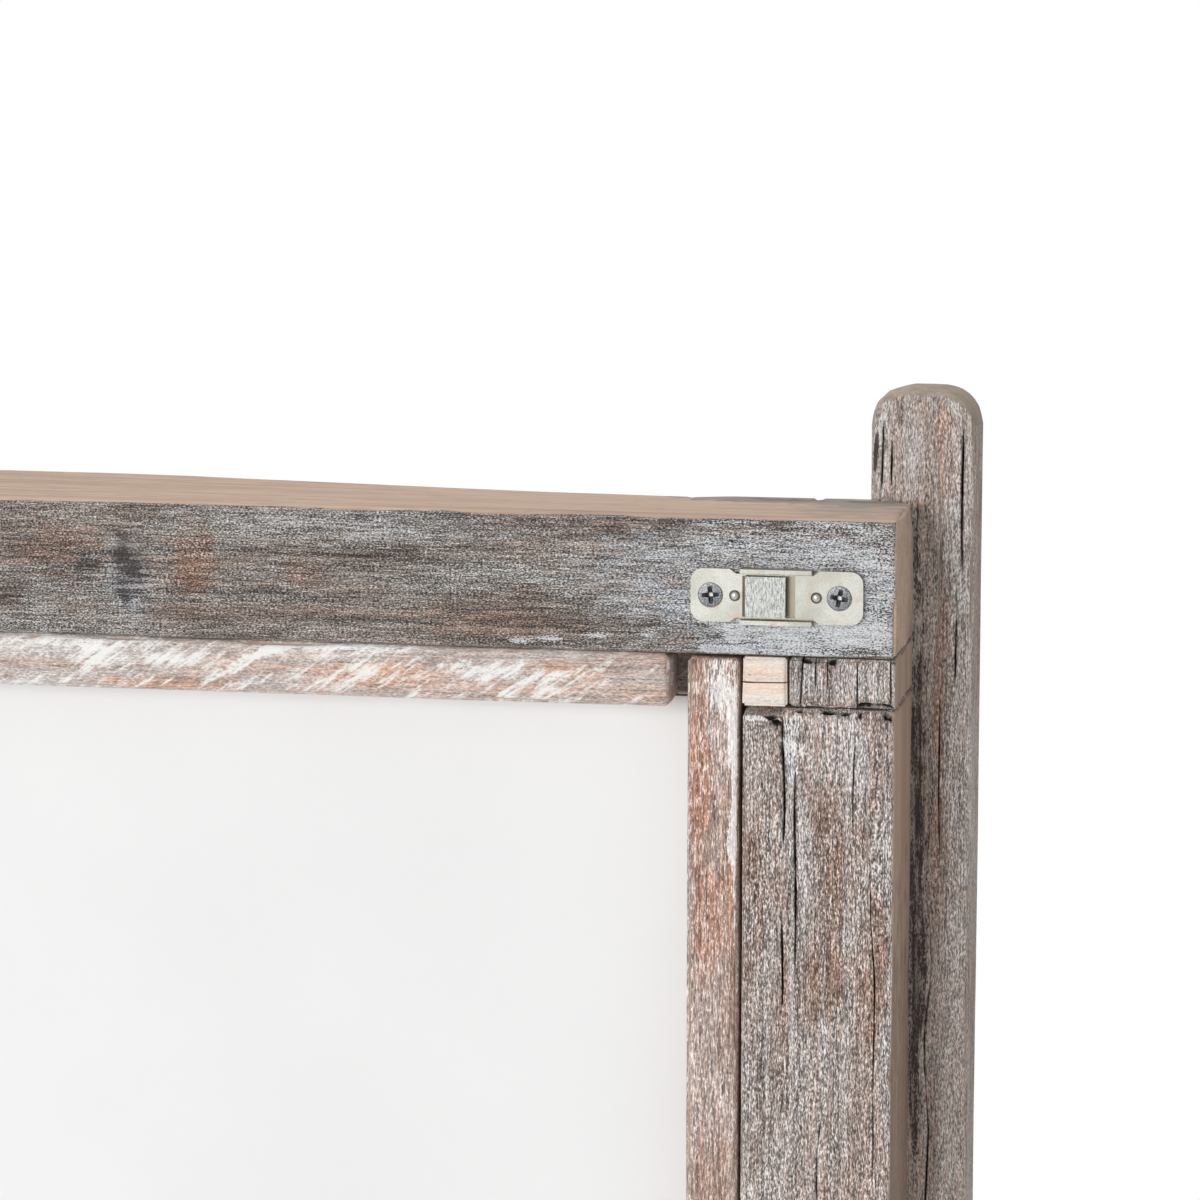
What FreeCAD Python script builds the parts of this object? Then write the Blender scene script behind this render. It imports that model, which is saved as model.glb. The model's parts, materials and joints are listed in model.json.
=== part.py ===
import FreeCAD, Part
import math
import os

from FreeCAD import Matrix, Placement, Rotation, Vector

# A free-standing folding screen of three leaves in reclaimed timber, in millimetres.
#
# Every leaf is drawn in its own frame: u runs along the leaf from its left end, v runs
# through its thickness from the catch side (v = 0) to the back, and z is the height over
# the floor. The leaves are then stood in a zigzag, leaf a on the left, b in the middle
# and c on the right. The row frame has +Z up and its origin on the floor, under the
# middle of the screen's box.

# ---- driving sizes of a leaf ----
LEAF_W = 500.0            # over the outer faces of the two posts
SCREEN_H = 1750.0         # floor to the crown of the posts
FOLD_DEG = 60.0           # how far each leaf is turned from its neighbour, as it stands
LEAF_GAP = 3.0            # between the posts of two leaves when they lie in line

# posts
POST_W = 29.8
POST_D = 22.0
POST_RISE = 31.0          # post crown over the top rail
POST_OVERHANG = 17.1      # post beyond the end of the frame
POST_CORNER_R = 11.5      # shoulders of the rounded post top
POST_CROWN_R = 30.0       # flatter arc between the shoulders
POST_EASE = 1.5           # worn long edges

# frame of rails and stiles
FRAME_T = 40.0
RAIL_H = 39.0
STILE_W = 43.0
FRAME_LIFT = 80.0         # floor to the underside of the bottom rail
FRAME_EASE = 1.0

# beads and panel
BEAD_W = 15.0             # upright beads
BEAD_H = 15.5             # level beads
BEAD_T = 17.0
BEAD_SETBACK = 1.0        # bead face behind the frame face
BEAD_EASE = 1.5
BEAD_STILE_GAP = 0.8      # upright bead to stile
BEAD_RAIL_GAP = 0.6       # upright bead to rail
BEAD_FREE_GAP = 4.9       # rear level bead to upright bead, at its loosely cut end
BEAD_TIGHT_GAP = 1.0      # level bead to upright bead, at every other end
PANEL_T = 4.0
PANEL_HOLD_SIDE = 8.0     # panel behind the upright beads
PANEL_HOLD_END = 4.0      # panel behind the level beads
PANEL_NOTCH_W = 14.0      # corners of the panel, trimmed to clear the bead ends
PANEL_NOTCH_H = 3.6

# packing blocks over the short stile of leaf c
BLOCK_H = 14.0
FRESH_BLOCK_W = 13.0
BLOCK_GAP = 0.3

# joinery
DOWEL_R = 4.0
DOWEL_LEN = 56.0
DOWEL_PITCH = 18.0        # between the two dowels of a corner
FIT_GAP = 0.05            # round a dowel or a screw
END_GAP = 0.5             # past the end of a dowel or a screw
FRAME_SCREW = {"head_r": 4.0, "shank_r": 2.0, "head_h": 2.4, "length": 48.0}
FRAME_SCREW_COUNT = 5
DRIVE_W = 0.9             # arms of the cross recess
DRIVE_DEPTH = 1.1
DRIVE_REACH = 0.62        # recess across the head, as a share of the head's diameter
TIP_FLAT_R = 0.4

# foot glides
GLIDE_R = 9.0
GLIDE_H = 4.0
GLIDE_EASE = 1.0
GLIDE_NAIL_R = 1.3
GLIDE_NAIL_LEN = 15.0

# hinges, three at each fold
HINGE_COUNT = 3
HINGE_END = 220.0         # middle of the end hinges to the ends of the posts
HINGE_H = 60.0
KNUCKLES = 5
KNUCKLE_R = 4.0
KNUCKLE_GAP = 0.3
PIN_R = 2.0
PIN_RUN = 0.08            # running clearance round the pin
PIN_HEAD_R = 3.4
PIN_HEAD_H = 1.6
PLATE_T = 2.0
PLATE_CLEAR = 0.5         # plate face to the middle of the gap
PLATE_EDGE = 2.0          # far edge of a plate to the face of the post
MORTISE_GAP = 0.2
BUTT_OFFSET = 4.3         # axis of the butt hinges behind the posts
PROJECTION_OFFSET = 6.0   # axis of the projection hinges in front of the frames
HINGE_SCREW = {"head_r": 3.4, "shank_r": 1.75, "head_h": 1.7, "length": 16.0}
HINGE_SCREW_INSET = 6.5   # screw rows from the post's two faces
HINGE_SCREW_OUTER = 22.0  # heights of the screws over and under the hinge's middle
HINGE_SCREW_INNER = 11.0

# catch plate on the free top corners; places along it are from its middle
CATCH_FROM_END = 33.2     # middle of the plate to the end of the frame
CATCH_DROP = 21.8         # middle of the plate under the top of the rail
CATCH_L = 48.2
CATCH_WING_H = 14.9
CATCH_NECK_H = 12.3
CATCH_T = 1.5
CATCH_CORNER_R = 3.5
CATCH_NECK = (-11.4, 10.2)       # where the neck meets the wings
CATCH_SHOULDER = (-13.2, 12.1)   # where the wings reach their full height
CATCH_WINDOW = (-8.5, 5.2)
CATCH_WINDOW_H = 11.8
CATCH_FLANGE = (-10.0, 10.0)
CATCH_FLANGE_H = 15.5            # over the outer faces of both flanges
CATCH_FLANGE_T = 1.2
CATCH_FLANGE_RISE = 3.6
CATCH_FLOOR_T = 0.5
CATCH_TONGUE_END = 2.7
CATCH_TONGUE_H = 11.4
CATCH_TONGUE_RISE = 3.3
CATCH_TONGUE_T = 1.1
CATCH_RAMP = 1.1                 # length of the bend up to the tongue
CATCH_SCREWS = (-18.5, 17.5)
CATCH_DIMPLES = (-11.7, 11.1)
DIMPLE_R = 1.5
DIMPLE_H = 0.8
CATCH_SCREW = {"head_r": 3.5, "shank_r": 1.75, "head_h": 1.4, "length": 15.0}

# ---- how near counts as the same ----
PARALLEL_MISS = 1e-6      # of a cosine
SAME_PLACE = 1e-3

# ---- sizes that follow from them ----
LEAF_T = FRAME_T + POST_D
FRAME_LEFT = POST_OVERHANG
FRAME_RIGHT = LEAF_W - POST_OVERHANG
FRAME_TOP = SCREEN_H - POST_RISE
STILE_BOTTOM = FRAME_LIFT + RAIL_H
STILE_TOP = FRAME_TOP - RAIL_H
SIGHT_RIGHT = FRAME_RIGHT - STILE_W
PANEL_FRONT = BEAD_SETBACK + BEAD_T
PANEL_BACK = PANEL_FRONT + PANEL_T
HINGE_LOW = GLIDE_H + HINGE_END
HINGE_HIGH = SCREEN_H - HINGE_END
HINGE_STEP = (HINGE_HIGH - HINGE_LOW) / (HINGE_COUNT - 1)
HINGE_HEIGHTS = [HINGE_LOW + HINGE_STEP * i for i in range(HINGE_COUNT)]
FRAME_SCREW_LOW = FRAME_LIFT + RAIL_H / 2
FRAME_SCREW_HIGH = FRAME_TOP - RAIL_H / 2
FRAME_SCREW_STEP = (FRAME_SCREW_HIGH - FRAME_SCREW_LOW) / (FRAME_SCREW_COUNT - 1)
FRAME_SCREW_HEIGHTS = [FRAME_SCREW_LOW + FRAME_SCREW_STEP * i for i in range(FRAME_SCREW_COUNT)]
FRAME_SCREW_U = (FRAME_RIGHT + LEAF_W - POST_W) / 2   # middle of the lap of post and stile
DOWEL_U = FRAME_RIGHT - STILE_W / 2
GAP_MIDDLE = LEAF_W + LEAF_GAP / 2                    # hinge axis, right of a leaf
MORTISE_DEPTH = PLATE_T + PLATE_CLEAR - LEAF_GAP / 2

# A hinge kind: where its axis lies, and which way its plates run from the axis.
BUTT = {"axis_v": LEAF_T + BUTT_OFFSET, "way": -1, "plate_end": FRAME_T + PLATE_EDGE}
PROJECTION = {"axis_v": -PROJECTION_OFFSET, "way": 1, "plate_end": LEAF_T - PLATE_EDGE}

U, V, Z = Vector(1, 0, 0), Vector(0, 1, 0), Vector(0, 0, 1)


# ---- small helpers ----
def block(u, v, z):
    """A box between the two ends given along each direction."""
    low, high = [min(pair) for pair in (u, v, z)], [max(pair) for pair in (u, v, z)]
    return Part.makeBox(high[0] - low[0], high[1] - low[1], high[2] - low[2], Vector(*low))


def eased(solid, axis, radius):
    """Round the edges that run along the axis."""
    edges = []
    for edge in solid.Edges:
        if abs(abs(edge.tangentAt(edge.FirstParameter).dot(axis)) - 1) < PARALLEL_MISS:
            edges.append(edge)
    return solid.makeFillet(radius, edges)


def mirrored(shape):
    """The same shape at the other end of the leaf."""
    return shape.mirror(Vector(LEAF_W / 2, 0, 0), U)


def aimed(shape, place, direction):
    """Move a shape drawn along +Z so that it starts at a place and runs along a direction."""
    return shape.transformed(Placement(place, Rotation(Z, direction)).toMatrix(), True)


def screw_body(size, grow=0.0):
    """A countersunk screw along +Z from the face of its head, or the hole for it."""
    shank = size["shank_r"] + grow
    head = Part.makeCone(size["head_r"] + grow, shank, size["head_h"])
    tip_len = 2 * size["shank_r"]
    reach = size["length"] + (END_GAP if grow else 0)
    stem = Part.makeCylinder(shank, reach - tip_len - size["head_h"], Vector(0, 0, size["head_h"]))
    tip = Part.makeCone(shank, TIP_FLAT_R + grow, tip_len, Vector(0, 0, reach - tip_len))
    return head.fuse([stem, tip]).removeSplitter()


def screw(size):
    arm = size["head_r"] * DRIVE_REACH
    cross = [Part.makeBox(2 * arm, DRIVE_W, 2 * DRIVE_DEPTH, Vector(-arm, -DRIVE_W / 2, -DRIVE_DEPTH)),
             Part.makeBox(DRIVE_W, 2 * arm, 2 * DRIVE_DEPTH, Vector(-DRIVE_W / 2, -arm, -DRIVE_DEPTH))]
    return screw_body(size).cut(cross)


# ---- posts ----
def post_blank():
    """The right-hand post: square below, with rounded shoulders and a crowned top."""
    half = POST_W / 2
    middle = LEAF_W - half
    arm = half - POST_CORNER_R
    drop = math.sqrt((POST_CROWN_R - POST_CORNER_R) ** 2 - arm ** 2)
    crown_z = SCREEN_H - POST_CROWN_R
    corner_z = crown_z + drop
    lean = math.atan2(drop, arm)

    def at(side, centre_u, centre_z, radius, angle):
        du = centre_u + radius * math.cos(angle)
        return Vector(middle + side * du, FRAME_T, centre_z + radius * math.sin(angle))

    shoulder_foot = {s: at(s, arm, corner_z, POST_CORNER_R, 0) for s in (-1, 1)}
    shoulder_mid = {s: at(s, arm, corner_z, POST_CORNER_R, lean / 2) for s in (-1, 1)}
    shoulder_head = {s: at(s, arm, corner_z, POST_CORNER_R, lean) for s in (-1, 1)}
    crown = Vector(middle, FRAME_T, SCREEN_H)
    foot = {s: Vector(middle + s * half, FRAME_T, GLIDE_H) for s in (-1, 1)}
    outline = Part.Wire([
        Part.makeLine(foot[-1], foot[1]),
        Part.makeLine(foot[1], shoulder_foot[1]),
        Part.Arc(shoulder_foot[1], shoulder_mid[1], shoulder_head[1]).toShape(),
        Part.Arc(shoulder_head[1], crown, shoulder_head[-1]).toShape(),
        Part.Arc(shoulder_head[-1], shoulder_mid[-1], shoulder_foot[-1]).toShape(),
        Part.makeLine(shoulder_foot[-1], foot[-1]),
    ])
    return eased(Part.Face(outline).extrude(V * POST_D), Z, POST_EASE)


def post(hinge):
    """The right-hand post, cut for its screws, its glide and any hinge at its outer face."""
    cuts = frame_screw_holes() + [glide_nail(FIT_GAP)]
    if hinge:
        cuts += [hinge_mortise(hinge, height) for height in HINGE_HEIGHTS]
        cuts += hinge_screw_set(hinge, screw_body(HINGE_SCREW, FIT_GAP))
    return post_blank().cut(cuts)


# ---- frame ----
def rail(low, dowel_z):
    bar = eased(block((FRAME_LEFT, FRAME_RIGHT), (0, FRAME_T), (low, low + RAIL_H)), U, FRAME_EASE)
    holes = dowels(dowel_z, FIT_GAP) + frame_screw_holes()
    return bar.cut(holes + [mirrored(hole) for hole in holes])


def stile(low, high):
    bar = eased(block((SIGHT_RIGHT, FRAME_RIGHT), (0, FRAME_T), (low, high)), Z, FRAME_EASE)
    holes = dowels(STILE_BOTTOM, FIT_GAP) + dowels(STILE_TOP, FIT_GAP) + frame_screw_holes()
    return bar.cut(holes)


def dowels(middle_z, grow=0.0):
    """The pair of dowels, or their holes, at a right-hand corner of the frame."""
    length = DOWEL_LEN + (2 * END_GAP if grow else 0)
    pair = []
    for side in (-1, 1):
        foot = Vector(DOWEL_U, FRAME_T / 2 + side * DOWEL_PITCH / 2, middle_z - length / 2)
        pair.append(Part.makeCylinder(DOWEL_R + grow, length, foot, Z))
    return pair


def frame_screw_places():
    return [Vector(FRAME_SCREW_U, LEAF_T, height) for height in FRAME_SCREW_HEIGHTS]


def frame_screws():
    return [aimed(screw(FRAME_SCREW), place, V * -1) for place in frame_screw_places()]


def frame_screw_holes():
    return [aimed(screw_body(FRAME_SCREW, FIT_GAP), place, V * -1) for place in frame_screw_places()]


def glide_nail(grow=0.0):
    foot = Vector(LEAF_W - POST_W / 2, FRAME_T + POST_D / 2, GLIDE_H)
    return Part.makeCylinder(GLIDE_NAIL_R + grow, GLIDE_NAIL_LEN + (END_GAP if grow else 0), foot, Z)


def glide():
    foot = Vector(LEAF_W - POST_W / 2, FRAME_T + POST_D / 2, 0)
    disc = Part.makeCylinder(GLIDE_R, GLIDE_H, foot, Z)
    rim = [edge for edge in disc.Edges if edge.BoundBox.ZMax < GLIDE_EASE]
    return disc.makeChamfer(GLIDE_EASE, rim).fuse(glide_nail())


# ---- beads and panel ----
def upright_bead(v):
    right = SIGHT_RIGHT - BEAD_STILE_GAP
    height = (STILE_BOTTOM + BEAD_RAIL_GAP, STILE_TOP - BEAD_RAIL_GAP)
    return eased(block((right - BEAD_W, right), v, height), Z, BEAD_EASE)


def level_bead(v, low, right_gap):
    inner = SIGHT_RIGHT - BEAD_STILE_GAP - BEAD_W
    span = (LEAF_W - inner + BEAD_TIGHT_GAP, inner - right_gap)
    return eased(block(span, v, (low, low + BEAD_H)), U, BEAD_EASE)


def panel():
    half = SIGHT_RIGHT - BEAD_STILE_GAP - BEAD_W + PANEL_HOLD_SIDE - LEAF_W / 2
    low = STILE_BOTTOM + BEAD_H - PANEL_HOLD_END
    high = STILE_TOP - BEAD_H + PANEL_HOLD_END
    left, right = LEAF_W / 2 - half, LEAF_W / 2 + half
    depth = (PANEL_FRONT, PANEL_BACK)
    sheet = block((left, right), depth, (low, high))
    notches = []
    for corner_u, way_u in ((left, 1), (right, -1)):
        for corner_z, way_z in ((low, 1), (high, -1)):
            reach = (corner_u, corner_u + way_u * PANEL_NOTCH_W)
            notches.append(block(reach, depth, (corner_z, corner_z + way_z * PANEL_NOTCH_H)))
    return sheet.cut(notches)


# ---- hinges ----
def knuckle_span(middle_z, index):
    step = HINGE_H / KNUCKLES
    low = middle_z - HINGE_H / 2 + index * step
    return low + KNUCKLE_GAP / 2, low + step - KNUCKLE_GAP / 2


def hinge_leaf(kind, middle_z, indexes):
    """One plate of a hinge with its knuckles, on the right-hand post."""
    axis_v, way = kind["axis_v"], kind["way"]
    thick = (GAP_MIDDLE - PLATE_CLEAR - PLATE_T, GAP_MIDDLE - PLATE_CLEAR)
    near = axis_v + way * (KNUCKLE_R + 2 * KNUCKLE_GAP)
    height = (middle_z - HINGE_H / 2, middle_z + HINGE_H / 2)
    plate = block(thick, (near, kind["plate_end"]), height)
    arms, bores = [], []
    for index in indexes:
        low, high = knuckle_span(middle_z, index)
        foot = Vector(GAP_MIDDLE, axis_v, low)
        arms.append(Part.makeCylinder(KNUCKLE_R, high - low, foot, Z))
        arms.append(block(thick, (axis_v, near), (low, high)))
        bores.append(Part.makeCylinder(PIN_R + PIN_RUN, high - low, foot, Z))
    holes = hinge_screws_at(kind, middle_z, screw_body(HINGE_SCREW, FIT_GAP))
    return plate.fuse(arms).cut(bores + holes)


def hinge_pin(kind, middle_z):
    foot = Vector(GAP_MIDDLE, kind["axis_v"], middle_z - HINGE_H / 2)
    stem = Part.makeCylinder(PIN_R, HINGE_H, foot, Z)
    top = Vector(foot.x, foot.y, middle_z + HINGE_H / 2 - KNUCKLE_GAP / 2)
    head = Part.makeCylinder(PIN_HEAD_R, PIN_HEAD_H, top, Z)
    rim = [edge for edge in head.Edges if edge.BoundBox.ZMin > top.z + PIN_HEAD_H / 2]
    return stem.fuse(head.makeFillet(PIN_HEAD_H / 2, rim))


def hinge_mortise(kind, middle_z):
    outer = LEAF_W - MORTISE_DEPTH
    far = kind["plate_end"] + kind["way"] * MORTISE_GAP
    open_side = FRAME_T - POST_D if kind["way"] > 0 else LEAF_T + POST_D
    height = (middle_z - HINGE_H / 2 - MORTISE_GAP, middle_z + HINGE_H / 2 + MORTISE_GAP)
    return block((outer, LEAF_W + POST_W), (far, open_side), height)


def hinge_screws_at(kind, middle_z, shape):
    """Place a screw, or its hole, at the four screw places of a plate."""
    face = GAP_MIDDLE - PLATE_CLEAR
    rows = (FRAME_T + HINGE_SCREW_INSET, LEAF_T - HINGE_SCREW_INSET)
    placed = []
    for side in (-1, 1):
        for row, rise in zip(rows, (HINGE_SCREW_OUTER, HINGE_SCREW_INNER)):
            placed.append(aimed(shape, Vector(face, row, middle_z + side * rise), U * -1))
    return placed


def hinge_screw_set(kind, shape):
    return [one for height in HINGE_HEIGHTS for one in hinge_screws_at(kind, height, shape)]


OUTER_KNUCKLES = range(0, KNUCKLES, 2)
INNER_KNUCKLES = range(1, KNUCKLES, 2)


# ---- catch plate, drawn from its middle: x along it, y out of the rail, z up ----
def catch_outline():
    """The face plate: two wings joined by a narrower neck."""
    wing, neck, end = CATCH_WING_H / 2, CATCH_NECK_H / 2, CATCH_L / 2
    upper = [(-end, wing), (CATCH_SHOULDER[0], wing), (CATCH_NECK[0], neck),
             (CATCH_NECK[1], neck), (CATCH_SHOULDER[1], wing), (end, wing)]
    lower = [(x, -z) for x, z in reversed(upper)]
    points = [Vector(x, 0, z) for x, z in upper + lower]
    plate = Part.Face(Part.makePolygon(points + points[:1])).extrude(V * CATCH_T)
    corners = []
    for edge in plate.Edges:
        middle = edge.CenterOfMass
        along_v = abs(abs(edge.tangentAt(edge.FirstParameter).y) - 1) < PARALLEL_MISS
        if along_v and abs(middle.x) > end - SAME_PLACE:
            corners.append(edge)
    return plate.makeFillet(CATCH_CORNER_R, corners)


def catch_tongue():
    """The raised tongue, bent up from the neck and open towards the leaf's free end."""
    start = CATCH_WINDOW[0]
    low = CATCH_TONGUE_RISE - CATCH_TONGUE_T
    side = [(start - CATCH_RAMP, CATCH_T / 2), (start - CATCH_RAMP, CATCH_T), (start, CATCH_TONGUE_RISE),
            (CATCH_TONGUE_END, CATCH_TONGUE_RISE), (CATCH_TONGUE_END, low),
            (start + CATCH_TONGUE_T / 2, low), (start, CATCH_T / 2)]
    points = [Vector(x, y, -CATCH_TONGUE_H / 2) for x, y in side]
    return Part.Face(Part.makePolygon(points + points[:1])).extrude(Z * CATCH_TONGUE_H)


def catch_plate():
    window = block(CATCH_WINDOW, (-1, CATCH_T + 1), (-CATCH_WINDOW_H / 2, CATCH_WINDOW_H / 2))
    plate = catch_outline().cut(window)
    half = CATCH_FLANGE_H / 2
    parts = [block(CATCH_FLANGE, (0, CATCH_FLOOR_T), (-half, half)), catch_tongue()]
    for side in (-1, 1):
        edge = (side * (half - CATCH_FLANGE_T), side * half)
        parts.append(block(CATCH_FLANGE, (0, CATCH_FLANGE_RISE), edge))
    ball_r = (DIMPLE_R ** 2 + DIMPLE_H ** 2) / (2 * DIMPLE_H)
    for x in CATCH_DIMPLES:
        ball = Part.makeSphere(ball_r, Vector(x, CATCH_T + DIMPLE_H - ball_r, 0))
        outer = block((x - ball_r, x + ball_r), (CATCH_T / 2, CATCH_T + 2 * DIMPLE_H), (-ball_r, ball_r))
        parts.append(ball.common(outer))
    holes = [aimed(screw_body(CATCH_SCREW, FIT_GAP), Vector(x, CATCH_T, 0), V * -1) for x in CATCH_SCREWS]
    return plate.fuse(parts).cut(holes)


def on_rail(shape):
    """From the catch plate's own frame to its place at the right-hand end of the top rail."""
    facing_out = Matrix()
    facing_out.scale(1, -1, 1)
    facing_out.move(Vector(FRAME_RIGHT - CATCH_FROM_END, 0, FRAME_TOP - CATCH_DROP))
    return shape.transformed(facing_out, True)


def catch_screws(shape):
    return [on_rail(aimed(shape, Vector(x, CATCH_T, 0), V * -1)) for x in CATCH_SCREWS]


# ---- a whole leaf ----
def leaf(name, left_hinge, right_hinge, catch_end):
    """Every piece of one leaf, by node name, in the leaf's own frame."""
    tag = "leaf_" + name + "_"
    rear = (BEAD_SETBACK, PANEL_FRONT)
    front = (PANEL_BACK, PANEL_BACK + BEAD_T)
    top_low, bottom_low = STILE_TOP - BEAD_H, STILE_BOTTOM
    top_rail = rail(STILE_TOP, STILE_TOP)
    nodes = {
        tag + "post_left": [mirrored(post(left_hinge))],
        tag + "post_right": [post(right_hinge)],
        tag + "bottom_rail": [rail(FRAME_LIFT, STILE_BOTTOM)],
        tag + "stile_left": [mirrored(stile(STILE_BOTTOM, STILE_TOP))],
        tag + "stile_right": [stile(STILE_BOTTOM, STILE_TOP)],
        tag + "panel": [panel()],
        tag + "rear_bead_top": [level_bead(rear, top_low, BEAD_FREE_GAP)],
        tag + "rear_bead_bottom": [level_bead(rear, bottom_low, BEAD_FREE_GAP)],
        tag + "rear_bead_left": [mirrored(upright_bead(rear))],
        tag + "rear_bead_right": [upright_bead(rear)],
        tag + "front_beads": [
            level_bead(front, top_low, BEAD_TIGHT_GAP), level_bead(front, bottom_low, BEAD_TIGHT_GAP),
            upright_bead(front), mirrored(upright_bead(front)),
        ],
    }
    pegs = dowels(STILE_BOTTOM) + dowels(STILE_TOP)
    nodes[tag + "corner_dowels"] = pegs + [mirrored(peg) for peg in pegs]
    nodes[tag + "frame_screws"] = frame_screws() + [mirrored(one) for one in frame_screws()]
    nodes[tag + "foot_glides"] = [glide(), mirrored(glide())]
    if catch_end:
        place = mirrored if catch_end == "left" else (lambda shape: shape)
        top_rail = top_rail.cut([place(hole) for hole in catch_screws(screw_body(CATCH_SCREW, FIT_GAP))])
        nodes["catch_plate_" + name] = [place(on_rail(catch_plate()))]
        nodes["catch_screws_" + name] = [place(one) for one in catch_screws(screw(CATCH_SCREW))]
    nodes[tag + "top_rail"] = [top_rail]
    return nodes


def packing_blocks(nodes):
    """Shorten the right-hand stile of leaf c and fill its top with two offcuts."""
    low, high = STILE_TOP - BLOCK_H, STILE_TOP
    split = SIGHT_RIGHT + FRESH_BLOCK_W
    depth = (0, FRAME_T)
    holes = dowels(STILE_TOP, FIT_GAP) + frame_screw_holes()
    nodes["leaf_c_stile_right"] = [stile(STILE_BOTTOM, low - BLOCK_GAP)]
    nodes["fresh_packing_block"] = [block((SIGHT_RIGHT, split - BLOCK_GAP), depth, (low, high)).cut(holes)]
    nodes["grey_packing_block"] = [block((split, FRAME_RIGHT), depth, (low, high)).cut(holes)]


# ---- how the leaves stand ----
def turned_about(anchor, place, angle):
    """Put a leaf's anchor on a place and turn the leaf about it."""
    return Placement(place, Rotation(Z, angle)) * Placement(anchor * -1, Rotation())


BUTT_RIGHT = Vector(GAP_MIDDLE, BUTT["axis_v"], 0)
BUTT_LEFT = Vector(-LEAF_GAP / 2, BUTT["axis_v"], 0)
PROJECTION_RIGHT = Vector(GAP_MIDDLE, PROJECTION["axis_v"], 0)
PROJECTION_LEFT = Vector(-LEAF_GAP / 2, PROJECTION["axis_v"], 0)

PLACE_C = Placement()
PLACE_B = turned_about(BUTT_RIGHT, BUTT_LEFT, -FOLD_DEG)
PLACE_A = turned_about(PROJECTION_RIGHT, PLACE_B.multVec(PROJECTION_LEFT), 0)


def build():
    """Every node with its solids in the row frame, and the shift that was applied."""
    leaves = {
        "a": (leaf("a", None, PROJECTION, "left"), PLACE_A),
        "b": (leaf("b", PROJECTION, BUTT, None), PLACE_B),
        "c": (leaf("c", BUTT, None, "right"), PLACE_C),
    }
    packing_blocks(leaves["c"][0])
    nodes_a, nodes_b, nodes_c = (leaves[name][0] for name in "abc")

    nodes_b["butt_hinge_leaves_b"] = [hinge_leaf(BUTT, z, INNER_KNUCKLES) for z in HINGE_HEIGHTS]
    nodes_c["butt_hinge_leaves_c"] = [mirrored(hinge_leaf(BUTT, z, OUTER_KNUCKLES)) for z in HINGE_HEIGHTS]
    nodes_c["butt_hinge_pins"] = [mirrored(hinge_pin(BUTT, z)) for z in HINGE_HEIGHTS]
    nodes_a["projection_hinge_leaves_a"] = [hinge_leaf(PROJECTION, z, INNER_KNUCKLES) for z in HINGE_HEIGHTS]
    nodes_b["projection_hinge_leaves_b"] = [mirrored(hinge_leaf(PROJECTION, z, OUTER_KNUCKLES))
                                            for z in HINGE_HEIGHTS]
    nodes_b["projection_hinge_pins"] = [mirrored(hinge_pin(PROJECTION, z)) for z in HINGE_HEIGHTS]

    nodes_a["hinge_screws_a"] = hinge_screw_set(PROJECTION, screw(HINGE_SCREW))
    nodes_b["hinge_screws_b"] = (hinge_screw_set(BUTT, screw(HINGE_SCREW))
                                 + [mirrored(one) for one in hinge_screw_set(PROJECTION, screw(HINGE_SCREW))])
    nodes_c["hinge_screws_c"] = [mirrored(one) for one in hinge_screw_set(BUTT, screw(HINGE_SCREW))]

    placed, bodies = {}, {}
    for name, (nodes, place) in leaves.items():
        bodies["leaf_" + name] = sorted(nodes)
        for node, solids in nodes.items():
            placed[node] = [solid.transformed(place.toMatrix(), True) for solid in solids]
    box = Part.Compound([solid for solids in placed.values() for solid in solids]).BoundBox
    shift = Vector(-box.Center.x, -box.Center.y, 0)
    centre = Matrix()
    centre.move(shift)
    centred = {node: [solid.transformed(centre, True) for solid in solids] for node, solids in placed.items()}
    return centred, bodies, shift


NODES, BODIES, SHIFT = build()
AXIS_B = BUTT_LEFT + SHIFT
AXIS_A = PLACE_B.multVec(PROJECTION_LEFT) + SHIFT

os.makedirs("parts", exist_ok=True)
for node_name, node_solids in sorted(NODES.items()):
    whole = [solid for shape in node_solids for solid in shape.Solids]
    if len(whole) != len(node_solids) or not all(solid.isValid() for solid in whole):
        raise ValueError(node_name + " did not build as whole solids")
    shape = whole[0] if len(whole) == 1 else Part.Compound(whole)
    shape.exportStep("parts/" + node_name + ".step")
print(len(NODES), "nodes, hinge axes at", AXIS_B, AXIS_A)
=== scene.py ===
"""A folding screen of three leaves in weathered, whitewashed timber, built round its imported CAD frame.

Each leaf has its own axes: u along the leaf, v from its catch side to its posts, and z up.
Every bar of timber is a fine lattice over the box of its CAD node, with its edges rounded and worn,
its faces wavy, its cracks and nicks cut in, and its marks painted on its vertices for the materials.
"""

import itertools
import json
import math
from collections import namedtuple

import bpy
import numpy as np
from mathutils import Matrix, Vector

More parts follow.
